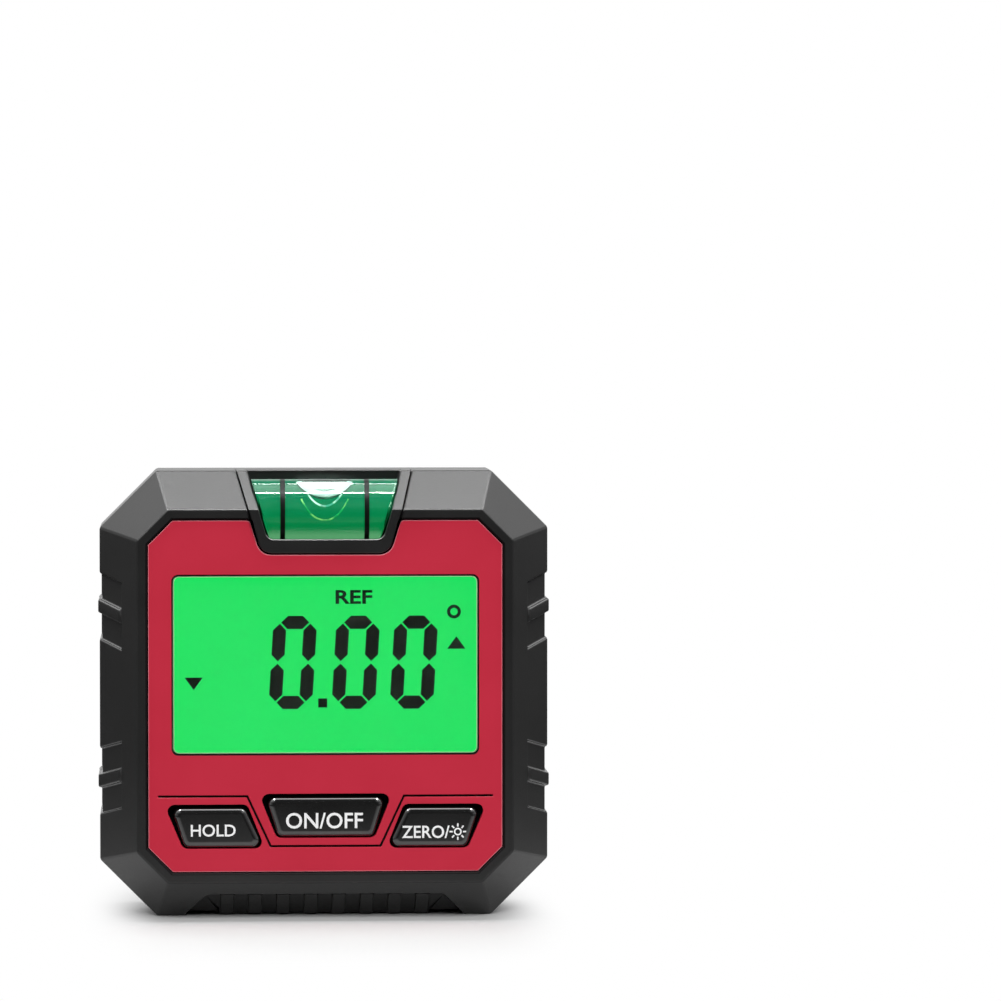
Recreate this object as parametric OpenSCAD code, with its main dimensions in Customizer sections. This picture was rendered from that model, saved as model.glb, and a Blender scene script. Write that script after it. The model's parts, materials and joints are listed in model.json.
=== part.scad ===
// Pocket digital angle gauge with a bubble vial, a backlit display, three keys and a magnetic base.
// Front faces -Y, up is +Z, the origin is on the standing surface under the middle of the case.

/* [Case] */
// Distance from each flat side to the battery bay inside
case_side = 5; // [4.6:0.1:7]
// Height from the feet to the top
case_h = 59.7; // [59:0.1:66]
// Depth from the front face to the back face
case_d = 28; // [28:0.5:34]
// Corner cut of the outline
corner_cut = 7.6; // [6.8:0.1:8.6]
// How far the front face is set in from the outline
front_inset = 5.05; // [4.6:0.05:5.4]
// How far the front face sits above the middle of the outline
front_rise = 0.15; // [0:0.05:0.3]
// Corner cut of the front face
front_cut = 4.1; // [3.6:0.1:4.6]
// Depth of the sloping flanks behind the front face
slope_d = 9; // [8:0.5:10]
// How far the back face is set in from the outline
rear_inset = 2.5; // [1.5:0.1:2.8]
// Depth of the flat sides between the front and the rear slopes
side_d = 13; // [12:0.5:14]
// Depth of the front shell, from the front face to the seam
front_shell_d = 16; // [15:0.5:17]
// Wall thickness of both shells
wall = 1.8; // [1.5:0.1:2]
// Clearance between pieces that slip together
slip_gap = 0.1; // [0.05:0.05:0.15]

/* [Face panel] */
// Width of the black border round the panel
bezel_w = 1.35; // [1.1:0.05:1.6]
// Depth of the panel's face below the border
panel_recess = 0.4; // [0.2:0.05:0.6]
// Thickness of the panel
panel_t = 1.4; // [1.2:0.1:1.6]
// Thickness of the shell's web behind the panel
web_t = 1.2; // [1:0.1:1.4]
// Width of the line cut into the panel round the keys
groove_w = 0.26; // [0.2:0.02:0.36]
// Depth of that line
groove_t = 0.45; // [0.15:0.05:0.6]

/* [Display] */
// Distance from each flat side of the case to the window
window_side = 9.7; // [9.6:0.1:11]
// Distance from the top of the case to the window
window_top = 13.65; // [13.5:0.05:14.5]
// Height of the window's lower edge above the base
window_foot = 22.25; // [22:0.05:23]
// Corner radius of the window
window_r = 0.8; // [0.5:0.1:1.5]
// Depth of the window's face below the panel
window_recess = 0.3; // [0.1:0.05:0.4]
// Width of the hidden rim that holds the window behind the panel
window_rim = 1.2; // [1:0.05:1.3]
// Thickness of that rim
window_rim_t = 0.6; // [0.4:0.1:0.8]
// Thickness of each glass plate
glass_t = 0.7; // [0.5:0.1:0.8]
// Thickness of the display's drawn segments
segment_t = 0.06; // [0.04:0.01:0.1]
// Thickness of the backlight panel
backlight_t = 2.3; // [2:0.1:2.6]
// Height of a digit
digit_h = 12.4; // [10:0.2:14]
// Width of a digit
digit_w = 5.8; // [5:0.1:6.4]
// Stroke of a digit's segments
stroke = 1.75; // [1.2:0.05:2]
// Lean of the digits, sideways for each unit of height
digit_lean = 0.06; // [0:0.01:0.15]

/* [Keys] */
// Height of each key's opening
key_h = 5.85; // [5:0.05:6.2]
// Height of the lower edge of the two side keys above the base
side_key_z = 9.75; // [9.5:0.05:10]
// Distance from the middle to a side key's inner lower corner
side_key_x = 8.05; // [7.9:0.05:8.6]
// Distance from each flat side of the case to a side key's outer lower corner
side_key_side = 11.1; // [10.8:0.05:12]
// Height of the lower edge of the middle key above the base
power_key_z = 11.15; // [11:0.05:11.4]
// Width of the middle key along its lower edge
power_key_w = 13; // [12:0.1:13.4]
// Corner radius of the key openings
key_r = 0.9; // [0.5:0.1:1.2]
// Gap between a key and its opening
key_gap = 0.15; // [0.1:0.05:0.25]
// Gap above a key's cap
cap_top = 0.45; // [0.2:0.05:0.6]
// Gap beside a key's cap at its upper outer corner
cap_side = 0.9; // [0.3:0.05:1.1]
// How far a key's face stands above the panel
key_proud = 0.25; // [0.1:0.05:0.4]
// Travel of a key
key_travel = 0.4; // [0.2:0.05:0.5]
// Width of the rim that keeps a key behind the web
key_rim = 0.55; // [0.4:0.05:0.6]
// Side of a switch body
switch_w = 5.2; // [4.5:0.1:6]
// Radius of a switch plunger
plunger_r = 1.5; // [1:0.1:1.7]

/* [Bubble vial] */
// Radius of the vial
vial_r = 4.3; // [4:0.05:4.4]
// Distance of the vial's axis below the top
vial_drop = 5.4; // [5.2:0.05:5.5]
// Distance of the vial's axis behind the front face
vial_y = 7; // [6.6:0.1:7.6]
// Radius of the vial's bore
bore_r = 3.3; // [2.8:0.1:3.4]
// Thickness of the vial's end walls, measured along it
vial_end = 0.8; // [0.6:0.1:1.2]
// Length of the bubble
bubble_l = 7; // [5:0.1:8]
// Depth of the bubble
bubble_h = 2.15; // [1.2:0.05:2.4]
// Distance between the two black rings
ring_span = 11.2; // [9:0.1:12]
// Width of a ring
ring_w = 0.65; // [0.4:0.05:0.9]
// Half width of the vial opening at its sill
sill_half_w = 7.65; // [7.4:0.05:7.8]
// Distance of the opening's sill below the top
sill_drop = 8.88; // [8.7:0.02:9.1]
// Outward lean of the opening's sides, sideways for each unit of height
vial_lean = 0.3; // [0.26:0.01:0.34]
// Wall of the vial housing
housing_wall = 1.32; // [1.2:0.02:1.4]
// Depth of the housing's lower edge below its sill
sill_t = 1.85; // [1.75:0.05:1.95]
// Thickness of the housing's front lip
lip_t = 1.3; // [1:0.1:1.5]
// Thickness of the bar behind the vial
bar_t = 1.3; // [1:0.1:1.6]

/* [Grip] */
// Depth of the grip pockets in the sides
grip_t = 0.35; // [0.2:0.05:0.5]
// How far the grip ribs stand out
grip_proud = 0.2; // [0.1:0.05:0.3]
// Height of one grip pocket
pocket_h = 3.5; // [2.5:0.1:4]
// Height of the rib between two pockets
rib_h = 1.8; // [1.2:0.1:2.2]
// Height of the upper group's middle above the base
upper_grip_z = 41.6; // [40:0.1:43]
// Height of the lower group's middle above the base
lower_grip_z = 18.2; // [17:0.1:20]
// How far the pockets slant towards the face
grip_slant = 1.15; // [0.8:0.05:1.5]
// Share of the sloping flank that the pockets cross
grip_share = 0.57; // [0.4:0.01:0.7]

/* [Base] */
// Width of each foot beside the arch
foot_w = 3.7; // [3.4:0.1:4.2]
// Height of the arch
arch_h = 3.4; // [2.9:0.1:3.6]
// Height of the magnet base above the floor
base_lift = 0.2; // [0.1:0.05:0.3]
// How far the base's face lies behind the sloping flank
base_setback = 1.5; // [1.2:0.1:2]
// Pitch of the ribs on the base's face
rib_pitch = 3.72; // [3.4:0.02:3.8]
// Width of a rib
base_rib_w = 1.75; // [1.4:0.05:2]
// How far a rib stands out of the base's face
base_rib_t = 0.8; // [0.4:0.05:1]
// Radius of a magnet
magnet_r = 3.5; // [2.5:0.1:3.5]
// Thickness of a magnet
magnet_t = 2; // [1.5:0.1:2]

/* [Battery bay] */
// Radius of a cell
cell_r = 5.25; // [5.2:0.01:5.25]
// Length of a cell with its terminal
cell_l = 44.5; // [44:0.1:44.5]
// Height of the bay's middle above the middle of the case
bay_rise = 1.15; // [0:0.05:1.5]
// Length of a contact spring
spring_l = 4.9; // [4:0.1:5]
// Wire radius of a contact spring
wire_r = 0.35; // [0.25:0.05:0.4]
// Thickness of the door
door_t = 1.6; // [1.4:0.1:1.8]
// Gap between the door and its opening
door_gap = 0.2; // [0.15:0.05:0.3]
// Radius of the door's hinge pins
hinge_r = 0.5; // [0.4:0.05:0.6]
// Running clearance of the hinge pins
hinge_gap = 0.05; // [0.04:0.01:0.06]

/* [Board and fasteners] */
// Thickness of the circuit board
board_t = 1.2; // [0.8:0.1:1.6]
// Radius of a case screw's shank
screw_r = 0.95; // [0.8:0.05:1]
// Radius of a case screw's head
screw_head_r = 1.8; // [1.6:0.1:1.9]
// Distance of the case screws from the sides
screw_side = 8.2; // [8:0.1:8.4]
// Distance of the case screws from the top and the bottom
screw_edge = 8.4; // [8.3:0.1:8.6]

/* [Hidden] */
$fn = 48;
cut = 1;           // how far a cutting shape runs past the face that it cuts
corner_steps = 6;  // chords in a rounded corner of an outline

// Size of the case and of the battery bay that sets its width
plate_t = 0.3;
bay_l = cell_l + spring_l + 2 * plate_t;
case_w = bay_l + 2 * case_side;
bay_z = case_h / 2 + bay_rise;

// Planes across the depth
front_y = -case_d / 2;
back_y = case_d / 2;
slope_y = front_y + slope_d;
rear_slope_y = slope_y + side_d;
seam_y = front_y + front_shell_d;
panel_y = front_y + panel_recess;
web_y = panel_y + panel_t;
web_back_y = web_y + web_t;

// Display stack, from the panel's back to the board
rim_back_y = web_y + window_rim_t;
segment_y = rim_back_y + glass_t;
rear_glass_y = segment_y + segment_t;
backlight_y = rear_glass_y + glass_t;
board_y = backlight_y + backlight_t;
board_back_y = board_y + board_t;
window_w = case_w - 2 * window_side;
window_h = case_h - window_top - window_foot;
window_z = window_foot + window_h / 2;
glass_w = window_w + 2 * window_rim;
glass_h = window_h + 2 * window_rim;
ledge_h = window_rim - 2 * slip_gap;  // strip of the front glass that the rear glass leaves bare
frame_wall = 0.9;
frame_w = glass_w + 4 * slip_gap + 2 * frame_wall;
frame_h = glass_h + 4 * slip_gap + 2 * frame_wall;
glass_z0 = window_z - glass_h / 2;
led_w = 0.8;
backlight_w = glass_w - 2 * led_w - 4 * slip_gap;

// Outlines of the case in the XZ plane
function octagon(half_w, z0, z1, c) = [
    [-half_w + c, z0], [half_w - c, z0], [half_w, z0 + c], [half_w, z1 - c],
    [half_w - c, z1], [-half_w + c, z1], [-half_w, z1 - c], [-half_w, z0 + c]];
outline = octagon(case_w / 2, 0, case_h, corner_cut);
front_outline = octagon(case_w / 2 - front_inset, front_inset + front_rise,
                        case_h - front_inset + front_rise, front_cut);

// Outline moved outwards by d, for points that run anticlockwise
function edge_normal(a, b) = [b[1] - a[1], a[0] - b[0]] / norm(b - a);
function grow(p, d) = [for (i = [0:len(p) - 1])
    let (a = p[(i + len(p) - 1) % len(p)], b = p[i], c = p[(i + 1) % len(p)],
         m = edge_normal(a, b), n = edge_normal(b, c))
    b + (m + n) * d / (1 + m * n)];
rear_outline = grow(outline, -rear_inset);

// Point list with each corner i rounded by r[i]
function unit(v) = v / norm(v);
function corner(a, b, c, r) =
    let (u = unit(a - b), v = unit(c - b), half = acos(u * v) / 2,
         hub = b + unit(u + v) * r / sin(half), start = b + u * r / tan(half) - hub,
         turn = sign(cross(-u, v)) * (180 - 2 * half), first = atan2(start[1], start[0]))
    r == 0 ? [b] : [for (k = [0:corner_steps])
        hub + r * [cos(first + turn * k / corner_steps), sin(first + turn * k / corner_steps)]];
function rounded(p, r) = [for (i = [0:len(p) - 1])
    each corner(p[(i + len(p) - 1) % len(p)], p[i], p[(i + 1) % len(p)], is_list(r) ? r[i] : r)];
function mirrored(p) = [for (i = [len(p) - 1:-1:0]) [-p[i][0], p[i][1]]];
function box_outline(w, h, z) = [[-w / 2, z - h / 2], [w / 2, z - h / 2],
                                 [w / 2, z + h / 2], [-w / 2, z + h / 2]];
function blend(p, q, t) = [for (i = [0:len(p) - 1]) p[i] * (1 - t) + q[i] * t];

// Solid between outlines of equal count at rising depths
module loft(rings, depths) {
    n = len(rings[0]);
    last = len(rings) - 1;
    polyhedron(
        points = [for (i = [0:last]) for (p = rings[i]) [p[0], depths[i], p[1]]],
        faces = [[for (j = [n - 1:-1:0]) j], [for (j = [0:n - 1]) last * n + j],
                 for (i = [0:last - 1]) for (j = [0:n - 1])
                     [i * n + j, i * n + (j + 1) % n, (i + 1) * n + (j + 1) % n, (i + 1) * n + j]]);
}
// Outline in XZ made solid from depth y0 to y1
module slab(p, y0, y1) translate([0, y1, 0]) rotate([90, 0, 0]) linear_extrude(y1 - y0) polygon(p);
// Outline in YZ made solid from x0 to x1
module bar_x(p, x0, x1) translate([x0, 0, 0]) rotate([90, 0, 90]) linear_extrude(x1 - x0) polygon(p);
module rod_y(x, z, r, y0, y1) translate([x, y1, z]) rotate([90, 0, 0]) cylinder(r = r, h = y1 - y0);
module rod_x(y, z, r, x0, x1) translate([x0, y, z]) rotate([0, 90, 0]) cylinder(r = r, h = x1 - x0);
module rod_z(x, y, r, z0, z1) translate([x, y, z0]) cylinder(r = r, h = z1 - z0);
module block(x0, x1, y0, y1, z0, z1) translate([x0, y0, z0]) cube([x1 - x0, y1 - y0, z1 - z0]);

// Outside of the case, moved outwards by d all round
module front_form(d = 0)
    loft([grow(front_outline, d), grow(outline, d), grow(outline, d)], [front_y, slope_y, seam_y]);
module rear_form(d = 0)
    loft([grow(outline, d), grow(outline, d), grow(rear_outline, d)], [seam_y, rear_slope_y, back_y]);

// Vial opening and housing outlines in XZ
vial_z = case_h - vial_drop;
sill_z = case_h - sill_drop;
housing_z = sill_z - sill_t;
function opening(z, side, top) = let (half = sill_half_w + side + (z - sill_z) * vial_lean,
    half_top = half + (top - z) * vial_lean) [[-half, z], [half, z], [half_top, top], [-half_top, top]];
opening_top = case_h + 2 * cut;
wall_run = housing_wall * sqrt(1 + vial_lean * vial_lean);
gap_run = slip_gap * sqrt(1 + vial_lean * vial_lean);
sill_r = 1.2;
housing_r = 1.9;
trough_z = vial_z - vial_r - slip_gap;
vial_axis_y = front_y + vial_y;
bar_y = vial_axis_y + vial_r + 3 * slip_gap;
housing_end_y = bar_y + bar_t;
housing_outline = rounded(opening(housing_z, wall_run, opening_top), [housing_r, housing_r, 0, 0]);
slot_outline = rounded(opening(housing_z - slip_gap, wall_run + gap_run, opening_top),
                       [housing_r, housing_r, 0, 0]);
sill_outline = rounded(opening(sill_z, 0, opening_top), [sill_r, sill_r, 0, 0]);
trough_outline = opening(trough_z, 0, opening_top);
vial_end_outline = opening(trough_z, -2 * gap_run, opening_top);
bore_outline = opening(trough_z, -2 * gap_run - vial_end, opening_top);
bore_mouth = [bore_outline[0], [case_w / 2, trough_z], [case_w / 2, opening_top], bore_outline[3]];

// Face panel outline with its notch for the vial housing, and the openings, in XZ
panel_octagon = grow(front_outline, -bezel_w);
panel_top = panel_octagon[4][1];
notch = opening(housing_z - slip_gap, wall_run + gap_run, panel_top);
notch_r = 0.7;
panel_corners = [for (i = [0:4]) panel_octagon[i], notch[2], notch[1], notch[0], notch[3],
                 for (i = [5:7]) panel_octagon[i]];
function panel_outline(d) =
    rounded(grow(panel_corners, d), [0, 0, 0, 0, 0, notch_r, housing_r, housing_r, notch_r, 0, 0, 0]);
glass_pocket = box_outline(glass_w + 4 * slip_gap, glass_h + 4 * slip_gap, window_z);
window_outline = rounded(box_outline(window_w, window_h, window_z), window_r);
side_key_w = case_w / 2 - side_key_side - side_key_x;
side_key_lean_in = 2.35;
side_key_lean_out = 2.5;
power_key_lean = 2.35;
zero_shape = [[side_key_x, side_key_z], [side_key_x + side_key_w, side_key_z],
              [side_key_x + side_key_w + side_key_lean_out, side_key_z + key_h],
              [side_key_x + side_key_lean_in, side_key_z + key_h]];
hold_shape = mirrored(zero_shape);
power_shape = [[-power_key_w / 2, power_key_z], [power_key_w / 2, power_key_z],
               [power_key_w / 2 + power_key_lean, power_key_z + key_h],
               [-power_key_w / 2 - power_key_lean, power_key_z + key_h]];
key_shapes = [hold_shape, power_shape, zero_shape];

// Outlines of the key caps, which leave a wider gap above and at the upper outer corners
zero_cap = [zero_shape[0] + [key_gap, key_gap], zero_shape[1] + [-key_gap, key_gap],
            zero_shape[2] - [cap_side, cap_top], zero_shape[3] + [2 * key_gap, -cap_top]];
hold_cap = mirrored(zero_cap);
power_cap = [power_shape[0] + [key_gap, key_gap], power_shape[1] + [-key_gap, key_gap],
             power_shape[2] - [cap_side, cap_top], power_shape[3] + [cap_side, -cap_top]];
function middle(p) = (p[0] + p[1] + p[2] + p[3]) / 4;

// Switches and keys across the depth
switch_h = 1.5;
switch_y = board_y - switch_h;
plunger_out = 0.7;
plunger_y = switch_y - plunger_out;
plunger_in = 0.8;
key_rim_y = web_back_y + slip_gap;
key_rim_t = 0.6;
bay_gap = 0.15;    // clearance of the cells in the bay

// Board, its posts and the case screws
board_side = 3.3;
board_half_w = frame_w / 2 + board_side;
board_foot = 2.2;
board_z0 = side_key_z - board_foot;
board_z1 = window_z + frame_h / 2 - slip_gap;
board_cut = 8.8;
board_outline = [[-board_half_w + board_cut, board_z0], [board_half_w - board_cut, board_z0],
                 [board_half_w, board_z0 + board_cut], [board_half_w, board_z1],
                 [-board_half_w, board_z1], [-board_half_w, board_z0 + board_cut]];
post_r = 1.3;
post_pilot_r = 0.6;
post_floor = 0.25;
board_screw_r = 0.55;
board_screw_head_r = 1.1;
board_screw_head_t = 0.8;
post_edge = 1.5;    // from a post's axis to the board's side
post_drop = 4;      // from an upper post's axis to the board's top
post_inset = 2.4;   // from a lower post's axis to the frame's side
post_gap = 0.5;     // between a lower post and the frame
lower_post_z = window_z - frame_h / 2 - post_gap - post_r;
post_sites = [for (s = [-1, 1]) each [[s * (board_half_w - post_edge), board_z1 - post_drop],
                                      [s * (frame_w / 2 - post_inset), lower_post_z]]];
screw_x = case_w / 2 - screw_side;
screw_sites = [for (x = [-screw_x, screw_x]) for (z = [screw_edge, case_h - screw_edge]) [x, z]];
boss_wall = 1.15;
boss_r = screw_r + boss_wall;
head_wall = 0.8;
rear_boss_r = screw_head_r + head_wall;
pilot_gap = 0.05;
screw_sink = 3.5;
screw_head_t = 1.5;
screw_seat_y = back_y - screw_sink;
screw_bite = 8;     // length of a case screw in the front shell
screw_tip_y = seam_y - screw_bite;
pilot_end_y = screw_tip_y - 1;

// Arch and magnet base
arch_half_w = case_w / 2 - corner_cut - foot_w;
arch_lean = 0.93;
arch_r = 1.2;
function arch(d) = rounded([[-arch_half_w - d, -cut], [arch_half_w + d, -cut], [arch_half_w + d, base_lift],
    [arch_half_w + d - (arch_h + d - base_lift) * arch_lean, arch_h + d],
    [-arch_half_w - d + (arch_h + d - base_lift) * arch_lean, arch_h + d], [-arch_half_w - d, base_lift]],
    [0, 0, 0, arch_r, arch_r, 0]);
arch_end_y = rear_slope_y;
arch_roof_t = 1.6;
slope_run = slope_d / (front_inset + front_rise);
base_end_y = arch_end_y - 2 * slip_gap;
rib_count = 8;
rib_zone = rib_pitch * (rib_count - 1) / 2 + base_rib_w / 2 + slip_gap;
end_relief = 0.4;
magnet_edge = 1.2;  // from a magnet to the base's front edge
magnet_y = slope_y + base_setback + magnet_edge + magnet_r;
magnet_gap = 1.2;
magnet_step = magnet_r + magnet_gap / 2;
magnet_sites = [for (x = [-3, -1, 1, 3]) x * magnet_step];
base_screw_sites = [for (s = [-1, 1]) s * 2 * magnet_step];
base_screw_edge = 2.8;
base_screw_y = arch_end_y - base_screw_edge;
base_screw_r = 0.8;
base_screw_head_r = 1.6;
base_screw_head_t = 1.2;
base_boss_r = 2;
base_boss_h = 5;

// Battery bay
cell_pitch = 2 * cell_r + 4 * bay_gap;
cell_sites = [bay_z - cell_pitch / 2, bay_z + cell_pitch / 2];
bay_h = cell_pitch + 2 * cell_r + 4 * bay_gap;
bay_wall = 1.2;
door_y = back_y - door_t;
cell_y = door_y - 2 * bay_gap - cell_r;
bay_y = cell_y - cell_r - bay_gap;
bay_floor_t = 1;
door_w = bay_l + 2 * bay_wall - 2 * door_gap;
hinge_drop = 2;     // from the bay to the door's hinged edge
door_z0 = bay_z - bay_h / 2 - hinge_drop;
door_z1 = bay_z + bay_h / 2 + bay_wall;
hinge_y = back_y - door_t / 2;
hinge_z = door_z0 + door_t / 2;
hinge_pin_l = 0.9;
nub_r = 1.9;
nub_l = 1;
tail_w = 2;

// Grip pockets seen from the side, as YZ outlines
grip_y0 = slope_y - grip_share * slope_d;
grip_y1 = rear_slope_y;
function grip_band(z0, z1, slant) = [[grip_y0, z0 + slant], [slope_y, z0], [grip_y1, z0],
                                     [grip_y1, z1], [slope_y, z1], [grip_y0, z1 + slant]];
grip_groups = [[upper_grip_z, -grip_slant], [lower_grip_z, grip_slant]];
module grip_pockets() for (g = grip_groups) for (s = [-1, 1])
    bar_x(grip_band(g[0] + s * (rib_h + pocket_h) / 2 - pocket_h / 2,
                    g[0] + s * (rib_h + pocket_h) / 2 + pocket_h / 2, g[1]), -case_w, case_w);
module grip_ribs() for (g = grip_groups)
    bar_x(grip_band(g[0] - rib_h / 2, g[0] + rib_h / 2, g[1]), -case_w, case_w);

module key_openings(d) for (k = key_shapes) slab(rounded(grow(k, d), key_r), front_y - cut, web_back_y + cut);

module front_shell() color("#262525") {
    difference() {
        union() {
            difference() {
                front_form();
                // hollow behind the web, kept clear of the arch's roof
                difference() {
                    loft([grow(blend(front_outline, outline, (web_back_y - front_y) / slope_d), -wall),
                          grow(outline, -wall), grow(outline, -wall)], [web_back_y, slope_y, seam_y + cut]);
                    slab(arch(arch_roof_t), front_y, seam_y + 2 * cut);
                    for (p = screw_sites) rod_y(p[0], p[1], boss_r, front_y, seam_y);
                    for (p = post_sites) rod_y(p[0], p[1], post_r, front_y, board_y);
                }
                difference() {
                    grip_pockets();
                    front_form(-grip_t);
                }
            }
            intersection() {
                difference() {
                    front_form(grip_proud);
                    front_form(-grip_t);
                }
                grip_ribs();
            }
        }
        slab(panel_outline(0), front_y - cut, web_y);
        slab(slot_outline, front_y - cut, housing_end_y + slip_gap);
        slab(glass_pocket, web_y - cut, web_back_y + cut);
        key_openings(0);
        slab(arch(0), front_y - cut, seam_y + cut);
        for (p = screw_sites) rod_y(p[0], p[1], screw_r + pilot_gap, pilot_end_y, seam_y + cut);
        for (p = post_sites) rod_y(p[0], p[1], post_pilot_r, web_back_y + post_floor, board_y + cut);
    }
}

// Line cut into the panel round the middle key
groove_side = 1.5;  // from the line's ends to the panel's sides
groove_gap = 1.1;   // from the line to the keys above and below it
groove_run = 0.8;   // from the line's lower corners to the middle key's
groove_end = panel_octagon[2][0] - groove_side;
groove_z = side_key_z + key_h + groove_gap;
groove_low = power_key_z - groove_gap;
groove_x0 = power_key_w / 2 + groove_run;
groove_x1 = side_key_x + side_key_lean_in;
groove_path = [[-groove_end, groove_z], [-groove_x1, groove_z], [-groove_x0, groove_low],
               [groove_x0, groove_low], [groove_x1, groove_z], [groove_end, groove_z]];
module groove() for (i = [0:len(groove_path) - 2]) {
    a = groove_path[i];
    b = groove_path[i + 1];
    translate([a[0], panel_y + groove_t, a[1]]) rotate([0, -atan2(b[1] - a[1], b[0] - a[0]), 0])
        translate([-groove_w / 2, -groove_t - cut, -groove_w / 2])
            cube([norm(b - a) + groove_w, groove_t + cut, groove_w]);
}
module face_panel() color("#bb2a3d") difference() {
    slab(panel_outline(-slip_gap), panel_y, web_y);
    slab(window_outline, panel_y - cut, web_y + cut);
    key_openings(0);
    groove();
}

module lcd_window() color("#e8f4ee", 0.4) {
    slab(rounded(box_outline(window_w - 2 * slip_gap, window_h - 2 * slip_gap, window_z), window_r),
         panel_y + window_recess, web_y);
    slab(box_outline(glass_w, glass_h, window_z), web_y, rim_back_y);
}
module lcd_front_glass() color("#dff2e6", 0.4)
    slab(box_outline(glass_w, glass_h, window_z), rim_back_y, segment_y);
module lcd_rear_glass() color("#dff2e6", 0.4)
    block(-glass_w / 2, glass_w / 2, rear_glass_y, backlight_y, glass_z0 + ledge_h, glass_z0 + glass_h);
module backlight_panel() color("#28e262")
    block(-backlight_w / 2, backlight_w / 2, backlight_y, board_y, glass_z0 + ledge_h, glass_z0 + glass_h);
led_z_step = 6;
led_l = 3;
led_x = backlight_w / 2 + slip_gap / 2;
module backlight_leds() color("#d8f5da") for (s = [-1, 1])
    block(led_x, led_x + led_w, backlight_y + slip_gap, board_y,
          window_z + s * led_z_step - led_l / 2, window_z + s * led_z_step + led_l / 2);
module lcd_frame() color("#e6e6e2") difference() {
    slab(box_outline(frame_w, frame_h, window_z), web_back_y, board_y);
    slab(glass_pocket, web_back_y - cut, board_y + cut);
}
zebra_gap = 0.15;
zebra_w = glass_w - 2;
module zebra_strip() color("#4a4a52")
    block(-zebra_w / 2, zebra_w / 2, segment_y, board_y,
          glass_z0 + zebra_gap, glass_z0 + ledge_h - zebra_gap);

// Display drawing: six lit segments a digit, a point, a ring and two arrows
digit_rise = 0.2;
digit_z = window_z + digit_rise;
digit_places = [24.59, 16.22, 8.49];
digit_sites = [for (d = digit_places) window_w / 2 - d];
segment_gap = 0.16;
function lean(p) = [for (q = p) [q[0] + (q[1] - digit_z) * digit_lean, q[1]]];
function at(p, x, z) = [for (q = p) [q[0] + x, q[1] + z]];
function stroke_flat(l) = [[-l / 2, 0], [-l / 2 + stroke / 2, -stroke / 2], [l / 2 - stroke / 2, -stroke / 2],
                           [l / 2, 0], [l / 2 - stroke / 2, stroke / 2], [-l / 2 + stroke / 2, stroke / 2]];
function stroke_tall(l) = [for (p = stroke_flat(l)) [-p[1], p[0]]];
module ink(p) slab(p, segment_y, rear_glass_y);
module digit_zero(x) {
    reach_x = (digit_w - stroke) / 2;
    reach_z = (digit_h - stroke) / 2;
    for (s = [-1, 1]) {
        ink(lean(at(stroke_flat(2 * reach_x - 2 * segment_gap), x, digit_z + s * reach_z)));
        for (t = [-1, 1])
            ink(lean(at(stroke_tall(reach_z - 2 * segment_gap), x + t * reach_x, digit_z + s * reach_z / 2)));
    }
}
point_place = 20.63;  // places of the marks are taken from the window's sides
point_x = window_w / 2 - point_place;
point_w = 1.2;
point_rise = 0.2;
ring_place = 3.16;
ring_x = window_w / 2 - ring_place;
ring_dz = 6.92;
ring_r = [0.5, 0.92];
arrow_w = 2.4;
arrow_h = 1.65;
arrow_place = 2.84;
up_arrow = [window_w / 2 - arrow_place, 2.8];
down_arrow = [-window_w / 2 + arrow_place, -2.6];
module lcd_segments() color("#22261f") {
    for (x = digit_sites) digit_zero(x);
    ink(at(box_outline(point_w, point_w, digit_z - digit_h / 2 + point_w / 2 + point_rise), point_x, 0));
    difference() {
        rod_y(ring_x, window_z + ring_dz, ring_r[1], segment_y, rear_glass_y);
        rod_y(ring_x, window_z + ring_dz, ring_r[0], segment_y - cut, rear_glass_y + cut);
    }
    ink(at([[-arrow_w / 2, -arrow_h / 2], [arrow_w / 2, -arrow_h / 2], [0, arrow_h / 2]],
           up_arrow[0], up_arrow[1] + window_z));
    ink(at([[-arrow_w / 2, arrow_h / 2], [0, -arrow_h / 2], [arrow_w / 2, arrow_h / 2]],
           down_arrow[0], down_arrow[1] + window_z));
}

module main_board() color("#1f6b3a") difference() {
    slab(board_outline, board_y, board_back_y);
    for (p = post_sites) rod_y(p[0], p[1], board_screw_r + pilot_gap, board_y - cut, board_back_y + cut);
}
sensor_w = 3;
sensor_z = 22;
chip_w = 8;
chip_z = 32;
chip_t = 1.1;
module chip(w, x, z, t) block(x - w / 2, x + w / 2, board_back_y, board_back_y + t, z - w / 2, z + w / 2);
module tilt_sensor() color("#2c2c30") chip(sensor_w, 0, sensor_z, chip_t);
module controller_chip() color("#1c1c1e") chip(chip_w, 0, chip_z, chip_t);
crystal_r = 1;
crystal_l = 6;
module quartz_crystal() color("#c8c8c8")
    rod_x(board_back_y + crystal_r, chip_z, crystal_r, chip_w, chip_w + crystal_l);
cap_w = 1;
cap_pitch = 2.4;
cap_count = 5;
module chip_capacitors() color("#b59a6a") for (i = [0:cap_count - 1])
    chip(cap_w, -chip_w, chip_z + (i - (cap_count - 1) / 2) * cap_pitch, cap_w);
module tact_switches() color("#3a3a3c") for (k = key_shapes) difference() {
    m = middle(k);
    slab(at(box_outline(switch_w, switch_w, m[1]), m[0], 0), switch_y, board_y);
    rod_y(m[0], m[1], plunger_r + slip_gap, switch_y - cut, switch_y + plunger_in + key_travel + slip_gap);
}
module plunger(k) color("#d6d2c4")
    rod_y(middle(k)[0], middle(k)[1], plunger_r, plunger_y, switch_y + plunger_in);
module hold_plunger() plunger(hold_shape);
module power_plunger() plunger(power_shape);
module zero_plunger() plunger(zero_shape);

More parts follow.
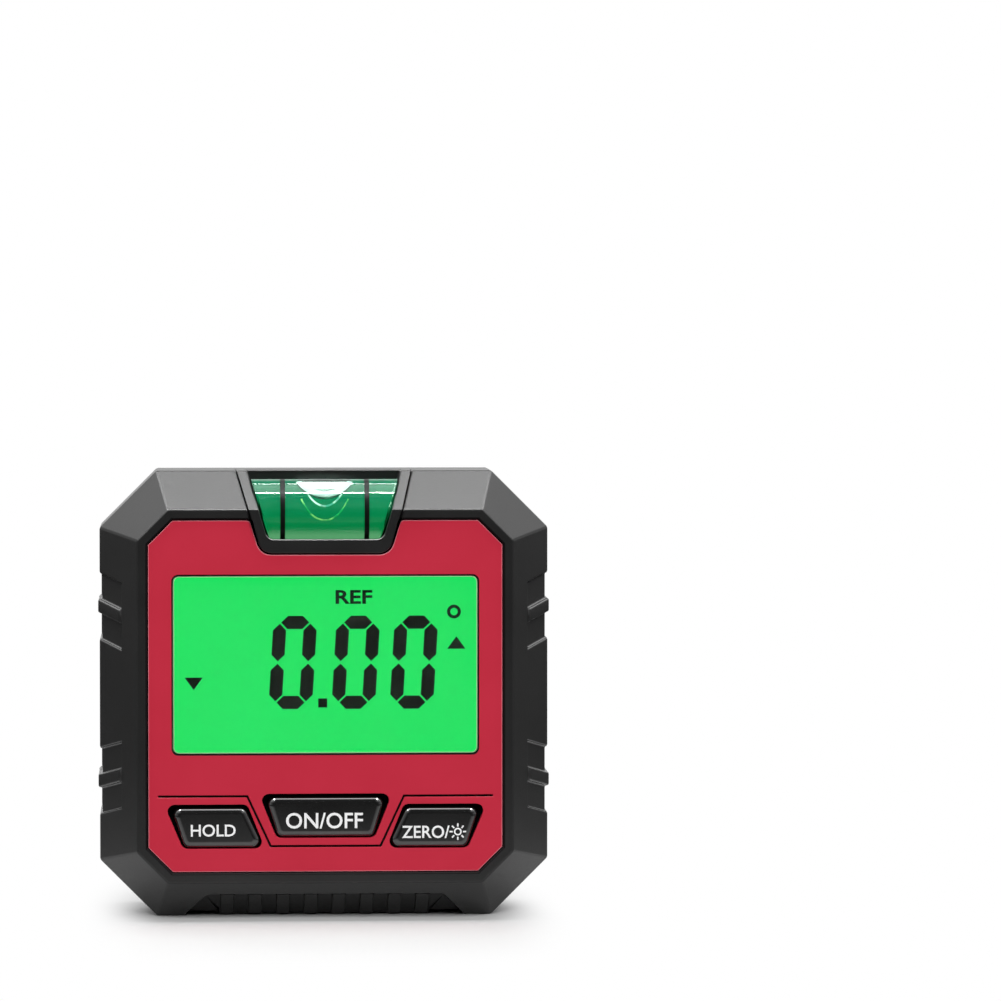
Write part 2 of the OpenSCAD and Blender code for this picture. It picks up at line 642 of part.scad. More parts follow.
// Key cap with a keeper rim behind the web and a foot on its plunger
key_shoulder = 0.4;
module key(k, cap) color("#2a2a2a") {
    crown = rounded(grow(cap, -key_shoulder), key_r - key_gap);
    skirt = rounded(cap, key_r);
    loft([crown, skirt], [panel_y - key_proud, panel_y - key_proud + key_shoulder]);
    slab(skirt, panel_y - key_proud + key_shoulder, key_rim_y);
    slab(rounded(grow(k, key_rim), key_r), key_rim_y, key_rim_y + key_rim_t);
    rod_y(middle(k)[0], middle(k)[1], plunger_r, key_rim_y + key_rim_t, plunger_y);
}
module hold_key() key(hold_shape, hold_cap);
module power_key() key(power_shape, power_cap);
module zero_key() key(zero_shape, zero_cap);
module board_screws() color("#b8b8b8") for (p = post_sites) {
    rod_y(p[0], p[1], board_screw_head_r, board_back_y, board_back_y + board_screw_head_t);
    rod_y(p[0], p[1], board_screw_r, web_back_y + 2 * post_floor, board_back_y);
}

// Vial and its housing
module vial_housing() color("#2b2b2b") intersection() {
    difference() {
        slab(housing_outline, front_y, housing_end_y);
        slab(sill_outline, front_y - cut, front_y + lip_t + cut);
        slab(trough_outline, front_y + lip_t, bar_y);
    }
    front_form();
}
module bore(ends) intersection() {
    rod_x(vial_axis_y, vial_z, bore_r, -case_w / 2, case_w / 2);
    slab(ends, front_y, seam_y);
}
module vial_tube() color("#0b8a55", 0.6) difference() {
    intersection() {
        rod_x(vial_axis_y, vial_z, vial_r, -case_w / 2, case_w / 2);
        slab(vial_end_outline, front_y, seam_y);
    }
    bore(bore_mouth);
    ring_seats();
}
ring_t = 0.12;
module ring_seats() for (s = [-1, 1]) difference() {
    rod_x(vial_axis_y, vial_z, vial_r + cut, s * ring_span / 2 - ring_w / 2, s * ring_span / 2 + ring_w / 2);
    rod_x(vial_axis_y, vial_z, vial_r - ring_t, s * ring_span / 2 - ring_w, s * ring_span / 2 + ring_w);
}
module vial_rings() color("#101010") for (s = [-1, 1]) difference() {
    rod_x(vial_axis_y, vial_z, vial_r, s * ring_span / 2 - ring_w / 2, s * ring_span / 2 + ring_w / 2);
    rod_x(vial_axis_y, vial_z, vial_r - ring_t, s * ring_span / 2 - ring_w, s * ring_span / 2 + ring_w);
}
bubble_r = (bubble_l * bubble_l / 4 + bubble_h * bubble_h) / (2 * bubble_h);
module vial_fluid() color("#0a7a48", 0.7) difference() {
    bore(bore_outline);
    translate([0, vial_axis_y, vial_z + bore_r - bubble_h + bubble_r]) sphere(r = bubble_r);
}
module vial_plug() color("#0b8a55", 0.6) intersection() {
    bore(vial_end_outline);
    slab([bore_outline[1], bore_mouth[1], bore_mouth[2], bore_outline[2]], front_y, seam_y);
}

// Magnet base in the arch
base_top = arch_h - slip_gap;
function base_face(setback) = [
    [slope_y + setback - base_lift * slope_run, base_lift], [base_end_y, base_lift],
    [base_end_y, base_top], [slope_y + setback - base_top * slope_run, base_top]];
module magnet_base() color("#151515") difference() {
    intersection() {
        slab(arch(-slip_gap), front_y, seam_y + case_d);
        union() {
            bar_x(base_face(base_setback), -arch_half_w, arch_half_w);
            for (i = [0:rib_count - 1]) let (x = (i - (rib_count - 1) / 2) * rib_pitch)
                bar_x(base_face(base_setback - base_rib_t), x - base_rib_w / 2, x + base_rib_w / 2);
        }
    }
    for (s = [-1, 1]) block(s > 0 ? rib_zone : -case_w, s > 0 ? case_w : -rib_zone, front_y, back_y,
                            -cut, base_lift + end_relief);
    for (x = magnet_sites)
        rod_z(x, magnet_y, magnet_r + slip_gap / 2, base_lift - cut, base_lift + slip_gap + magnet_t);
    for (x = base_screw_sites) {
        rod_z(x, base_screw_y, base_screw_r + slip_gap, -cut, arch_h + cut);
        rod_z(x, base_screw_y, base_screw_head_r + slip_gap, -cut, base_lift + base_screw_head_t);
    }
}
module base_magnets() color("#b9bcc0") for (x = magnet_sites)
    rod_z(x, magnet_y, magnet_r, base_lift + slip_gap, base_lift + slip_gap + magnet_t);
module base_screws() color("#8a8d90") for (x = base_screw_sites) {
    rod_z(x, base_screw_y, base_screw_head_r, base_lift + slip_gap, base_lift + base_screw_head_t);
    rod_z(x, base_screw_y, base_screw_r, base_lift + base_screw_head_t, arch_h + base_boss_h);
}

module rear_shell() color("#232323") {
    difference() {
        union() {
            difference() {
                rear_form();
                difference() {
                    loft([grow(outline, -wall), grow(outline, -wall), grow(rear_outline, -wall)],
                         [seam_y - cut, rear_slope_y, back_y - wall]);
                    slab(arch(arch_roof_t), seam_y - 2 * cut, arch_end_y + arch_roof_t);
                    for (p = screw_sites) rod_y(p[0], p[1], rear_boss_r, seam_y, back_y);
                    block(-bay_l / 2 - bay_wall, bay_l / 2 + bay_wall, seam_y, back_y,
                          bay_z - bay_h / 2 - bay_wall, bay_z + bay_h / 2 + bay_wall);
                    block(-door_w / 2, door_w / 2, hinge_y - door_t - wall, back_y, door_z0 - wall,
                          bay_z - bay_h / 2);
                    for (x = base_screw_sites)
                        rod_z(x, base_screw_y, base_boss_r, 0, arch_h + arch_roof_t + base_boss_h);
                }
                difference() {
                    grip_pockets();
                    rear_form(-grip_t);
                }
            }
            intersection() {
                difference() {
                    rear_form(grip_proud);
                    rear_form(-grip_t);
                }
                grip_ribs();
            }
            block(-bay_l / 2 - bay_wall, bay_l / 2 + bay_wall, bay_y - bay_floor_t, seam_y + cut,
                  bay_z - bay_h / 2 - bay_wall, bay_z + bay_h / 2 + bay_wall);
        }
        slab(arch(0), seam_y - cut, arch_end_y);
        // bay, door recess and its hinge holes
        block(-bay_l / 2, bay_l / 2, bay_y, back_y + cut, bay_z - bay_h / 2, bay_z + bay_h / 2);
        block(-door_w / 2 - door_gap, door_w / 2 + door_gap, door_y - slip_gap, back_y + cut,
              door_z0 - door_gap, door_z1 + door_gap);
        rod_x(hinge_y, hinge_z, hinge_r + hinge_gap, -door_w / 2 - hinge_pin_l - slip_gap,
              door_w / 2 + hinge_pin_l + slip_gap);
        // slots for the contact tails
        for (z = cell_sites)
            block(-bay_l / 2, -bay_l / 2 + plate_t + slip_gap, bay_y - bay_floor_t - cut, bay_y + cut,
                  z - tail_w / 2 - slip_gap, z + tail_w / 2 + slip_gap);
        for (p = screw_sites) {
            rod_y(p[0], p[1], screw_r + 2 * slip_gap, seam_y - cut, back_y);
            rod_y(p[0], p[1], screw_head_r + 2 * slip_gap, screw_seat_y, back_y + cut);
        }
        for (x = base_screw_sites)
            rod_z(x, base_screw_y, base_screw_r + pilot_gap, 0, arch_h + base_boss_h + slip_gap);
    }
}
door_grip_count = 5;
door_grip_pitch = 1.2;
door_grip_w = 14;
door_grip_t = 0.4;
module battery_door() color("#232323") difference() {
    union() {
        block(-door_w / 2, door_w / 2, door_y, back_y, hinge_z, door_z1);
        rod_x(hinge_y, hinge_z, door_t / 2, -door_w / 2, door_w / 2);
        rod_x(hinge_y, hinge_z, hinge_r, -door_w / 2 - hinge_pin_l, door_w / 2 + hinge_pin_l);
    }
    for (i = [1:door_grip_count]) block(-door_grip_w / 2, door_grip_w / 2, back_y - door_grip_t, back_y + cut,
        door_z1 - 1 - i * door_grip_pitch, door_z1 - 1 - i * door_grip_pitch + door_grip_pitch / 2);
}
// Cell along X with its terminal towards the side given
module cell(side, z) color("#3f7a3a") {
    end_x = side * (bay_l / 2 - plate_t);
    can_x = end_x - side * nub_l;
    far_x = end_x - side * cell_l;
    rod_x(cell_y, z, cell_r, min(can_x, far_x), max(can_x, far_x));
    rod_x(cell_y, z, nub_r, min(end_x, can_x), max(end_x, can_x));
}
module upper_cell() cell(-1, cell_sites[1]);
module lower_cell() cell(1, cell_sites[0]);
// Coil swept along X from a contact plate to its cell, wide at the plate
coil_turns = 3.5;
coil_steps = 14;
coil_sides = 6;
coil_r = [3.2, 2.2];
module coil(x, side, z) {
    rings = ceil(coil_turns * coil_steps);
    hubs = [for (i = [0:rings]) let (t = i / rings, r = coil_r[0] + (coil_r[1] - coil_r[0]) * t)
        [x + side * (wire_r + t * (spring_l - 2 * wire_r)), r, 360 * coil_turns * t]];
    ring_points = [for (h = hubs) for (j = [0:coil_sides - 1])
        let (r = h[1] + wire_r * cos(360 * j / coil_sides))
        [h[0] + side * wire_r * sin(360 * j / coil_sides), cell_y + r * cos(h[2]), z + r * sin(h[2])]];
    function ring_face(i, j) = [i * coil_sides + j, i * coil_sides + (j + 1) % coil_sides,
        (i + 1) * coil_sides + (j + 1) % coil_sides, (i + 1) * coil_sides + j];
    function facing(f) = side > 0 ? f : [for (k = [len(f) - 1:-1:0]) f[k]];
    polyhedron(points = ring_points, faces = [
        facing([for (j = [coil_sides - 1:-1:0]) j]),
        facing([for (j = [0:coil_sides - 1]) rings * coil_sides + j]),
        for (i = [0:rings - 1]) for (j = [0:coil_sides - 1]) facing(ring_face(i, j))]);
}
module battery_springs() color("#c2c6ca") {
    coil(bay_l / 2 - plate_t, -1, cell_sites[1]);
    coil(-bay_l / 2 + plate_t, 1, cell_sites[0]);
}
plate_w = 8;
module contact_plates() color("#c9c4b0") {
    for (z = cell_sites) {
        block(-bay_l / 2, -bay_l / 2 + plate_t, cell_y - plate_w / 2, cell_y + plate_w / 2,
              z - plate_w / 2, z + plate_w / 2);
        block(-bay_l / 2, -bay_l / 2 + plate_t, board_back_y, cell_y, z - tail_w / 2, z + tail_w / 2);
    }
    block(bay_l / 2 - plate_t, bay_l / 2, cell_y - plate_w / 2, cell_y + plate_w / 2,
          cell_sites[0] - plate_w / 2, cell_sites[1] + plate_w / 2);
}
slot_w = 0.6;
slot_t = 0.6;
module housing_screws() color("#7d8084") for (p = screw_sites) difference() {
    union() {
        rod_y(p[0], p[1], screw_head_r, screw_seat_y, screw_seat_y + screw_head_t);
        rod_y(p[0], p[1], screw_r, screw_tip_y, screw_seat_y);
    }
    // cross recess
    for (t = [0, 90]) translate([p[0], screw_seat_y + screw_head_t, p[1]]) rotate([0, t, 0])
        cube([2 * screw_head_r - slot_w, 2 * slot_t, slot_w], center = true);
}

front_shell();
face_panel();
lcd_window();
lcd_front_glass();
lcd_segments();
lcd_rear_glass();
backlight_panel();
backlight_leds();
lcd_frame();
zebra_strip();
main_board();
tilt_sensor();
controller_chip();
quartz_crystal();
chip_capacitors();
tact_switches();
hold_plunger();
power_plunger();
zero_plunger();
hold_key();
power_key();
zero_key();
board_screws();
vial_housing();
vial_tube();
vial_fluid();
vial_plug();
vial_rings();
magnet_base();
base_magnets();
base_screws();
rear_shell();
battery_door();
upper_cell();
lower_cell();
battery_springs();
contact_plates();
housing_screws();
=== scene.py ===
import bpy
import json
import math
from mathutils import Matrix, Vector

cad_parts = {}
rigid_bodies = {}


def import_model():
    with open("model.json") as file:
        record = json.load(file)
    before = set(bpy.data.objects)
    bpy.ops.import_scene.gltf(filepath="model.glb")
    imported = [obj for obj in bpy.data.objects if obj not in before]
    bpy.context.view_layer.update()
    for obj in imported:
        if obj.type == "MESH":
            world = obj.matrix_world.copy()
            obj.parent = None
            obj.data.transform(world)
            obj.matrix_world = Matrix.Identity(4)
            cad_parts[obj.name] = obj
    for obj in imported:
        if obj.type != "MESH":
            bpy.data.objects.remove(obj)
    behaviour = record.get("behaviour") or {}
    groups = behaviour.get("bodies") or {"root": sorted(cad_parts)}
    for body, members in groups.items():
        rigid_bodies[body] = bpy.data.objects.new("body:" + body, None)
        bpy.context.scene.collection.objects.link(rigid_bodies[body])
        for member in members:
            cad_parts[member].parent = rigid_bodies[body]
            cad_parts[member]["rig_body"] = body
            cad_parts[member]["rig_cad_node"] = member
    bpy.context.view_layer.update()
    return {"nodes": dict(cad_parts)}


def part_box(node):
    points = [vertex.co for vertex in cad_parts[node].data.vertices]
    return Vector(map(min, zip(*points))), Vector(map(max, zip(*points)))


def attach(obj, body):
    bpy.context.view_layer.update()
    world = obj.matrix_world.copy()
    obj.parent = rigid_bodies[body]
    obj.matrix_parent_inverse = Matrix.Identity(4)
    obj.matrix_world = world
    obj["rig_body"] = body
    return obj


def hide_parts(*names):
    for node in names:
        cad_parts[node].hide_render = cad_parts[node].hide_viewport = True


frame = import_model()
mm = 0.001
scene = bpy.context.scene
scene.view_settings.view_transform = "Standard"
print("frame loaded:", len(frame["nodes"]), "solids")


# Small helpers for materials and selection

def linear(hexColour):  # sRGB hex to a linear colour with alpha
    parts = [int(hexColour[i:i + 2], 16) / 255 for i in (1, 3, 5)]
    return tuple(p / 12.92 if p <= 0.04045 else ((p + 0.055) / 1.055) ** 2.4 for p in parts) + (1.0,)


def addNode(tree, kind, settings=None, links=None):  # one node, its settings and what feeds it
    node = tree.nodes.new(kind)
    for key, value in (settings or {}).items():
        if isinstance(key, int) or key in node.inputs:
            node.inputs[key].default_value = value
        else:
            setattr(node, key, value)
    for key, (source, outlet) in (links or {}).items():
        tree.links.new(source.outputs[outlet], node.inputs[key])
    return node


def newFinish(name, values):  # a material and its shader, with the shader's plain values set
    finish = bpy.data.materials.new(name)
    finish.use_nodes = True
    shader = finish.node_tree.nodes["Principled BSDF"]
    for key, value in values.items():
        shader.inputs[key].default_value = value
    return finish, finish.node_tree, shader


def colourStops(ramp, stops):  # fills a colour ramp from (place, hex) pairs
    elements = ramp.color_ramp.elements
    while len(elements) < len(stops):
        elements.new(0.5)
    for element, (place, hexColour) in zip(elements, stops):
        element.position = place
        element.color = linear(hexColour)


def onlySelect(*pieces):  # clears the selection and takes these pieces
    if bpy.context.object and bpy.context.object.mode != "OBJECT":
        bpy.ops.object.mode_set(mode="OBJECT")
    bpy.ops.object.select_all(action="DESELECT")
    for piece in pieces:
        piece.select_set(True)
    bpy.context.view_layer.objects.active = pieces[-1] if pieces else None


def settle(piece, name, finish, body, smooth=30):  # name, finish, place and body of a finished piece
    onlySelect(piece)
    piece.name = name
    piece.data.name = name
    bpy.ops.object.transform_apply(location=True, rotation=True, scale=True)
    if smooth:
        bpy.ops.object.shade_smooth_by_angle(angle=math.radians(smooth))
    piece.data.materials.clear()
    piece.data.materials.append(finish)
    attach(piece, body)
    return piece


# Finishes

def mouldedPlastic(name, stops, values, grain, depth, roughFrom, roughTo):
    # moulded ABS: an even, faintly mottled skin with a fine spark-eroded grain that breaks up the gloss
    finish, tree, shader = newFinish(name, values)
    place = addNode(tree, "ShaderNodeTexCoord")
    cloud = addNode(tree, "ShaderNodeTexNoise", {"Scale": 1 / (9 * mm), "Detail": 3.0},
                    {"Vector": (place, "Object")})  # flow marks some 9 mm wide
    tone = addNode(tree, "ShaderNodeValToRGB", None, {"Fac": (cloud, "Fac")})
    colourStops(tone, stops)
    skin = addNode(tree, "ShaderNodeTexNoise", {"Scale": 1 / (grain * mm), "Detail": 2.0},
                   {"Vector": (place, "Object")})
    gloss = addNode(tree, "ShaderNodeMapRange", {"To Min": roughFrom, "To Max": roughTo},
                    {"Value": (skin, "Fac")})
    relief = addNode(tree, "ShaderNodeBump", {"Distance": depth * mm, "Strength": 1.0},
                     {"Height": (skin, "Fac")})
    for socket, (source, outlet) in {"Base Color": (tone, "Color"), "Roughness": (gloss, "Result"),
                                     "Normal": (relief, "Normal")}.items():
        tree.links.new(source.outputs[outlet], shader.inputs[socket])
    return finish


# black parts: satin case, and a trough and base that are duller and a darker black, that darker black being
# painted shade in the recess round the vial and under the case; the satin lets broad soft gleams show the
# slopes
caseAbs = mouldedPlastic("black_moulded_abs", [(0.3, "#1b1b1b"), (0.7, "#212121")],
                         {"IOR": 1.53}, 0.35, 0.006, 0.28, 0.38)
troughShadeAbs = mouldedPlastic("black_abs_painted_recess_shade", [(0.3, "#131313"), (0.7, "#181818")],
                           {"IOR": 1.53}, 0.35, 0.004, 0.26, 0.34)
baseShadeAbs = mouldedPlastic("black_ribbed_abs_painted_shade", [(0.3, "#101010"), (0.7, "#151515")],
                         {"IOR": 1.53}, 0.35, 0.006, 0.38, 0.48)
# red face: an even satin red, with its outer edge painted a paler, glossier red as a highlight
faceAbs = mouldedPlastic("red_satin_abs", [(0.3, "#bc273c"), (0.7, "#c12a40")],
                         {"IOR": 1.53, "Specular IOR Level": 0.28}, 0.35, 0.004, 0.34, 0.42)
redEdgeHighlightAbs = mouldedPlastic("red_painted_edge_highlight", [(0.3, "#da7480"), (0.7, "#e28691")],
                         {"IOR": 1.53, "Specular IOR Level": 0.7}, 0.35, 0.002, 0.22, 0.30)
# edges and grooves: painted highlights, pale grey on the grip and trough edges and pale green on the window's
# saw-cut edge, and painted shade, almost black, in cuts, steps and wells
paleEdgeHighlightAbs = mouldedPlastic("grey_painted_edge_highlight", [(0.3, "#5a5a5a"), (0.7, "#6c6c6c")],
                           {"IOR": 1.53, "Specular IOR Level": 0.7}, 0.35, 0.002, 0.20, 0.28)
windowRimHighlightAcrylic = mouldedPlastic("window_rim_painted_highlight", [(0.3, "#9fd79a"), (0.7, "#afe0a8")],
                             {"IOR": 1.49}, 0.2, 0.004, 0.45, 0.55)
paintedShadeAbs = mouldedPlastic("black_painted_shade", [(0.3, "#0c0a0b"), (0.7, "#120f10")],
                           {"IOR": 1.5, "Specular IOR Level": 0.1}, 0.35, 0.004, 0.6, 0.7)
# keys: lacquered, so their round edges carry thin bright lines
keyAbs = mouldedPlastic("black_polished_abs", [(0.3, "#0f0f0f"), (0.7, "#141414")],
                        {"IOR": 1.53, "Specular IOR Level": 0.7, "Coat Weight": 1.0, "Coat IOR": 1.7,
                         "Coat Roughness": 0.06}, 0.5, 0.002, 0.13, 0.18)
# pieces inside: plain mouldings, each with its own tone and dullness
frameAbs = mouldedPlastic("white_moulded_abs", [(0.3, "#e2e2dd"), (0.7, "#ecece8")],
                          {"IOR": 1.53}, 0.35, 0.005, 0.42, 0.50)
nylon = mouldedPlastic("natural_nylon", [(0.3, "#d8d3c4"), (0.7, "#e2ddd0")],
                       {"IOR": 1.53}, 0.4, 0.005, 0.40, 0.48)
switchNylon = mouldedPlastic("black_nylon", [(0.3, "#1d1d1f"), (0.7, "#252527")],
                             {"IOR": 1.53}, 0.3, 0.006, 0.42, 0.52)
chipEpoxy = mouldedPlastic("moulded_chip_epoxy", [(0.3, "#1a1b1d"), (0.7, "#222326")],
                           {"IOR": 1.55}, 0.12, 0.006, 0.50, 0.60)
silicone = mouldedPlastic("striped_silicone", [(0.3, "#cfd6d2"), (0.7, "#dde2df")],
                          {"IOR": 1.41}, 0.3, 0.006, 0.55, 0.65)
ceramic = mouldedPlastic("fired_ceramic", [(0.3, "#a98562"), (0.7, "#b8946f")],
                         {"IOR": 1.6}, 0.2, 0.004, 0.35, 0.45)
ledResin = mouldedPlastic("milky_led_resin", [(0.3, "#dfe6d8"), (0.7, "#eef2e8")],
                          {"IOR": 1.54}, 0.3, 0.004, 0.25, 0.35)
# prints: thin flat coats with almost no gloss
legendInk = mouldedPlastic("white_pad_print", [(0.3, "#e9e9e9"), (0.7, "#f3f3f3")],
                           {"IOR": 1.5}, 0.12, 0.002, 0.42, 0.52)
segmentInk = mouldedPlastic("dark_display_fluid", [(0.3, "#20231d"), (0.7, "#262a23")],
                            {"IOR": 1.5, "Specular IOR Level": 0.2}, 0.6, 0.001, 0.45, 0.55)
ringInk = mouldedPlastic("black_ring_print", [(0.3, "#0a0d0b"), (0.7, "#0f1311")],
                         {"IOR": 1.5, "Specular IOR Level": 0.15}, 0.3, 0.002, 0.35, 0.45)


def polishedMetal(name, stops, grain, roughFrom, roughTo):
    # plated or drawn metal: bright, with fine draw lines along X that stretch the gleam
    finish, tree, shader = newFinish(name, {"Metallic": 1.0})
    place = addNode(tree, "ShaderNodeTexCoord")
    lines = addNode(tree, "ShaderNodeMapping", {"Scale": (0.12, 1.0, 1.0)}, {"Vector": (place, "Object")})
    drawn = addNode(tree, "ShaderNodeTexNoise", {"Scale": 1 / (grain * mm), "Detail": 3.0},
                    {"Vector": (lines, "Vector")})
    tone = addNode(tree, "ShaderNodeValToRGB", None, {"Fac": (drawn, "Fac")})
    colourStops(tone, stops)
    gloss = addNode(tree, "ShaderNodeMapRange", {"To Min": roughFrom, "To Max": roughTo},
                    {"Value": (drawn, "Fac")})
    tree.links.new(tone.outputs["Color"], shader.inputs["Base Color"])
    tree.links.new(gloss.outputs["Result"], shader.inputs["Roughness"])
    return finish


screwSteel = polishedMetal("zinc_plated_steel", [(0.3, "#a9acae"), (0.7, "#c3c6c8")], 0.25, 0.24, 0.38)
magnetNickel = polishedMetal("nickel_plated_magnet", [(0.3, "#b9b6ae"), (0.7, "#cfccc4")], 0.4, 0.14, 0.24)
contactNickel = polishedMetal("nickel_plated_brass", [(0.3, "#b4b0a4"), (0.7, "#cac6bb")], 0.3, 0.2, 0.32)
springSteel = polishedMetal("drawn_spring_steel", [(0.3, "#9a9c9d"), (0.7, "#b8babb")], 0.15, 0.22, 0.34)
canSteel = polishedMetal("pressed_can_steel", [(0.3, "#b0b2b4"), (0.7, "#c9cbcc")], 0.3, 0.2, 0.3)


def clearPlastic(name, values, smear):
    # clear pressed sheet or glass: sees through, with a faint unevenness in its polish
    finish, tree, shader = newFinish(name, dict({"Transmission Weight": 1.0, "IOR": 1.49}, **values))
    place = addNode(tree, "ShaderNodeTexCoord")
    haze = addNode(tree, "ShaderNodeTexNoise", {"Scale": 1 / (6 * mm), "Detail": 2.0},
                   {"Vector": (place, "Object")})  # wiping haze in patches some 6 mm wide
    gloss = addNode(tree, "ShaderNodeMapRange", {"To Min": 0.0, "To Max": smear}, {"Value": (haze, "Fac")})
    tree.links.new(gloss.outputs["Result"], shader.inputs["Roughness"])
    return finish


windowAcrylic = clearPlastic("clear_window_acrylic", {"Base Color": linear("#ffffff")}, 0.03)
displayGlass = clearPlastic("clear_display_glass", {"Base Color": linear("#ffffff"), "IOR": 1.45}, 0.02)
vialAcrylic = clearPlastic("turned_vial_acrylic", {"Base Color": linear("#d4f4e6")}, 0.01)


def litDiffuser(name, strength):  # backlit sheet: an almost even green glow, in clouds some 14 mm wide
    finish, tree, shader = newFinish(name, {"Base Color": linear("#12401f"), "Roughness": 0.5,
                                            "Emission Strength": strength})
    place = addNode(tree, "ShaderNodeTexCoord")
    cloud = addNode(tree, "ShaderNodeTexNoise", {"Scale": 1 / (14 * mm), "Detail": 1.0},
                    {"Vector": (place, "Object")})
    tone = addNode(tree, "ShaderNodeValToRGB", None, {"Fac": (cloud, "Fac")})
    colourStops(tone, [(0.3, "#10e45f"), (0.7, "#16e763")])
    tree.links.new(tone.outputs["Color"], shader.inputs["Emission Color"])
    return finish


displayGlow = litDiffuser("green_lit_diffuser", 1.06)


def spiritPaintedGlow(name, foot, head):  # dyed spirit: its green emission glow is painted light standing in for light passing through the vial, paler and yellower towards the foot of the bore
    finish, tree, shader = newFinish(name, {"Base Color": linear("#06402c"), "Roughness": 0.3, "IOR": 1.36,
                                            "Specular IOR Level": 0.1, "Emission Strength": 0.85})
    place = addNode(tree, "ShaderNodeTexCoord")
    split = addNode(tree, "ShaderNodeSeparateXYZ", None, {"Vector": (place, "Object")})
    height = addNode(tree, "ShaderNodeMapRange", {"From Min": foot * mm, "From Max": head * mm},
                     {"Value": (split, "Z")})
    tone = addNode(tree, "ShaderNodeValToRGB", None, {"Fac": (height, "Result")})
    colourStops(tone, [(0.1, "#6ab07b"), (0.19, "#048a48"), (0.65, "#008752"), (1.0, "#04805f")])
    tree.links.new(tone.outputs["Color"], shader.inputs["Emission Color"])
    return finish


# the spirit's glow is painted light, not a lamp
spirit = spiritPaintedGlow("green_spirit_painted_glow", 50.8, 57.8)


def bubblePaintedReflection(name):  # the spirit's skin under the air: it turns light back like a mirror, and its white emission glow is a painted reflection
    finish, tree, shader = newFinish(name, {"Metallic": 0.15, "Emission Strength": 0.5})
    place = addNode(tree, "ShaderNodeTexCoord")
    ripple = addNode(tree, "ShaderNodeTexNoise", {"Scale": 1 / (2 * mm), "Detail": 1.0},
                     {"Vector": (place, "Object")})  # slow ripples some 2 mm long
    tone = addNode(tree, "ShaderNodeValToRGB", None, {"Fac": (ripple, "Fac")})
    colourStops(tone, [(0.3, "#eef7f6"), (0.7, "#f8fcfc")])
    gloss = addNode(tree, "ShaderNodeMapRange", {"To Min": 0.08, "To Max": 0.18}, {"Value": (ripple, "Fac")})
    tree.links.new(tone.outputs["Color"], shader.inputs["Base Color"])
    tree.links.new(tone.outputs["Color"], shader.inputs["Emission Color"])
    tree.links.new(gloss.outputs["Result"], shader.inputs["Roughness"])
    return finish


bubbleSkinPaintedReflection = bubblePaintedReflection("bubble_skin_painted_reflection")


def meniscusPaintedLight(name, stops, strength):  # painted light: glowing rings where the spirit climbs the bore, with painted glints in beads
    finish, tree, shader = newFinish(name, {"Roughness": 0.2, "IOR": 1.36, "Emission Strength": strength})
    place = addNode(tree, "ShaderNodeTexCoord")
    beads = addNode(tree, "ShaderNodeTexNoise", {"Scale": 1 / (1.1 * mm), "Detail": 1.0},
                    {"Vector": (place, "Object")})  # beads of light about 1 mm apart
    tone = addNode(tree, "ShaderNodeValToRGB", None, {"Fac": (beads, "Fac")})
    colourStops(tone, stops)
    tree.links.new(tone.outputs["Color"], shader.inputs["Base Color"])
    tree.links.new(tone.outputs["Color"], shader.inputs["Emission Color"])
    return finish


# a painted highlight under the bubble, a painted dark rim of shade, and painted glints
bowlPaintedHighlight = meniscusPaintedLight("meniscus_painted_highlight", [(0.35, "#cfdcda"), (0.65, "#ecf4f3")], 0.2)
rimPaintedShade = meniscusPaintedLight("meniscus_painted_shade", [(0.35, "#0a3a2b"), (0.65, "#14533d")], 0.1)
rimPaintedGlint = meniscusPaintedLight("meniscus_painted_glint", [(0.42, "#3f9f83"), (0.6, "#cdeedd")], 0.6)
haloPaintedGlint = meniscusPaintedLight("meniscus_painted_yellow_glint", [(0.42, "#12904c"), (0.6, "#8fd873")], 0.6)


def boardLaminate(name):  # solder mask over glass cloth: deep green, with the copper runs just showing
    finish, tree, shader = newFinish(name, {"Roughness": 0.35, "IOR": 1.55})
    place = addNode(tree, "ShaderNodeTexCoord")
    runs = addNode(tree, "ShaderNodeTexBrick", {"Scale": 1 / (6 * mm), "Mortar Size": 0.03,
                                                "Color1": linear("#0f4a2c"), "Color2": linear("#135535"),
                                                "Mortar": linear("#2a7a4c")}, {"Vector": (place, "Object")})
    cloth = addNode(tree, "ShaderNodeTexNoise", {"Scale": 1 / (0.4 * mm)}, {"Vector": (place, "Object")})
    relief = addNode(tree, "ShaderNodeBump", {"Distance": 0.01 * mm}, {"Height": (cloth, "Fac")})
    tree.links.new(runs.outputs["Color"], shader.inputs["Base Color"])
    tree.links.new(relief.outputs["Normal"], shader.inputs["Normal"])
    return finish


laminate = boardLaminate("green_board_laminate")


cellBand = {"half": 24}  # mm, half the length that the sleeve's colours span


def cellSleeve(name, plusEnd):  # shrunk sleeve: satin black, a copper band at the plus end (1 right, -1 left)
    finish, tree, shader = newFinish(name, {"Roughness": 0.3, "IOR": 1.5, "Coat Weight": 0.3})
    place = addNode(tree, "ShaderNodeTexCoord")
    split = addNode(tree, "ShaderNodeSeparateXYZ", None, {"Vector": (place, "Object")})
    half = cellBand["half"] * mm * plusEnd
    along = addNode(tree, "ShaderNodeMapRange", {"From Min": -half, "From Max": half},
                    {"Value": (split, "X")})
    tone = addNode(tree, "ShaderNodeValToRGB", None, {"Fac": (along, "Result")})
    tone.color_ramp.interpolation = "CONSTANT"
    colourStops(tone, [(0.0, "#b9bcbe"), (0.04, "#20262a"), (0.72, "#b4733c"), (0.94, "#b9bcbe")])
    tree.links.new(tone.outputs["Color"], shader.inputs["Base Color"])
    return finish


lowerSleeve = cellSleeve("shrunk_sleeve_plus_right", 1)
upperSleeve = cellSleeve("shrunk_sleeve_plus_left", -1)
print("finishes made:", len(bpy.data.materials))


# Solids that keep their shape take a finish, and others get a copy with softened edges

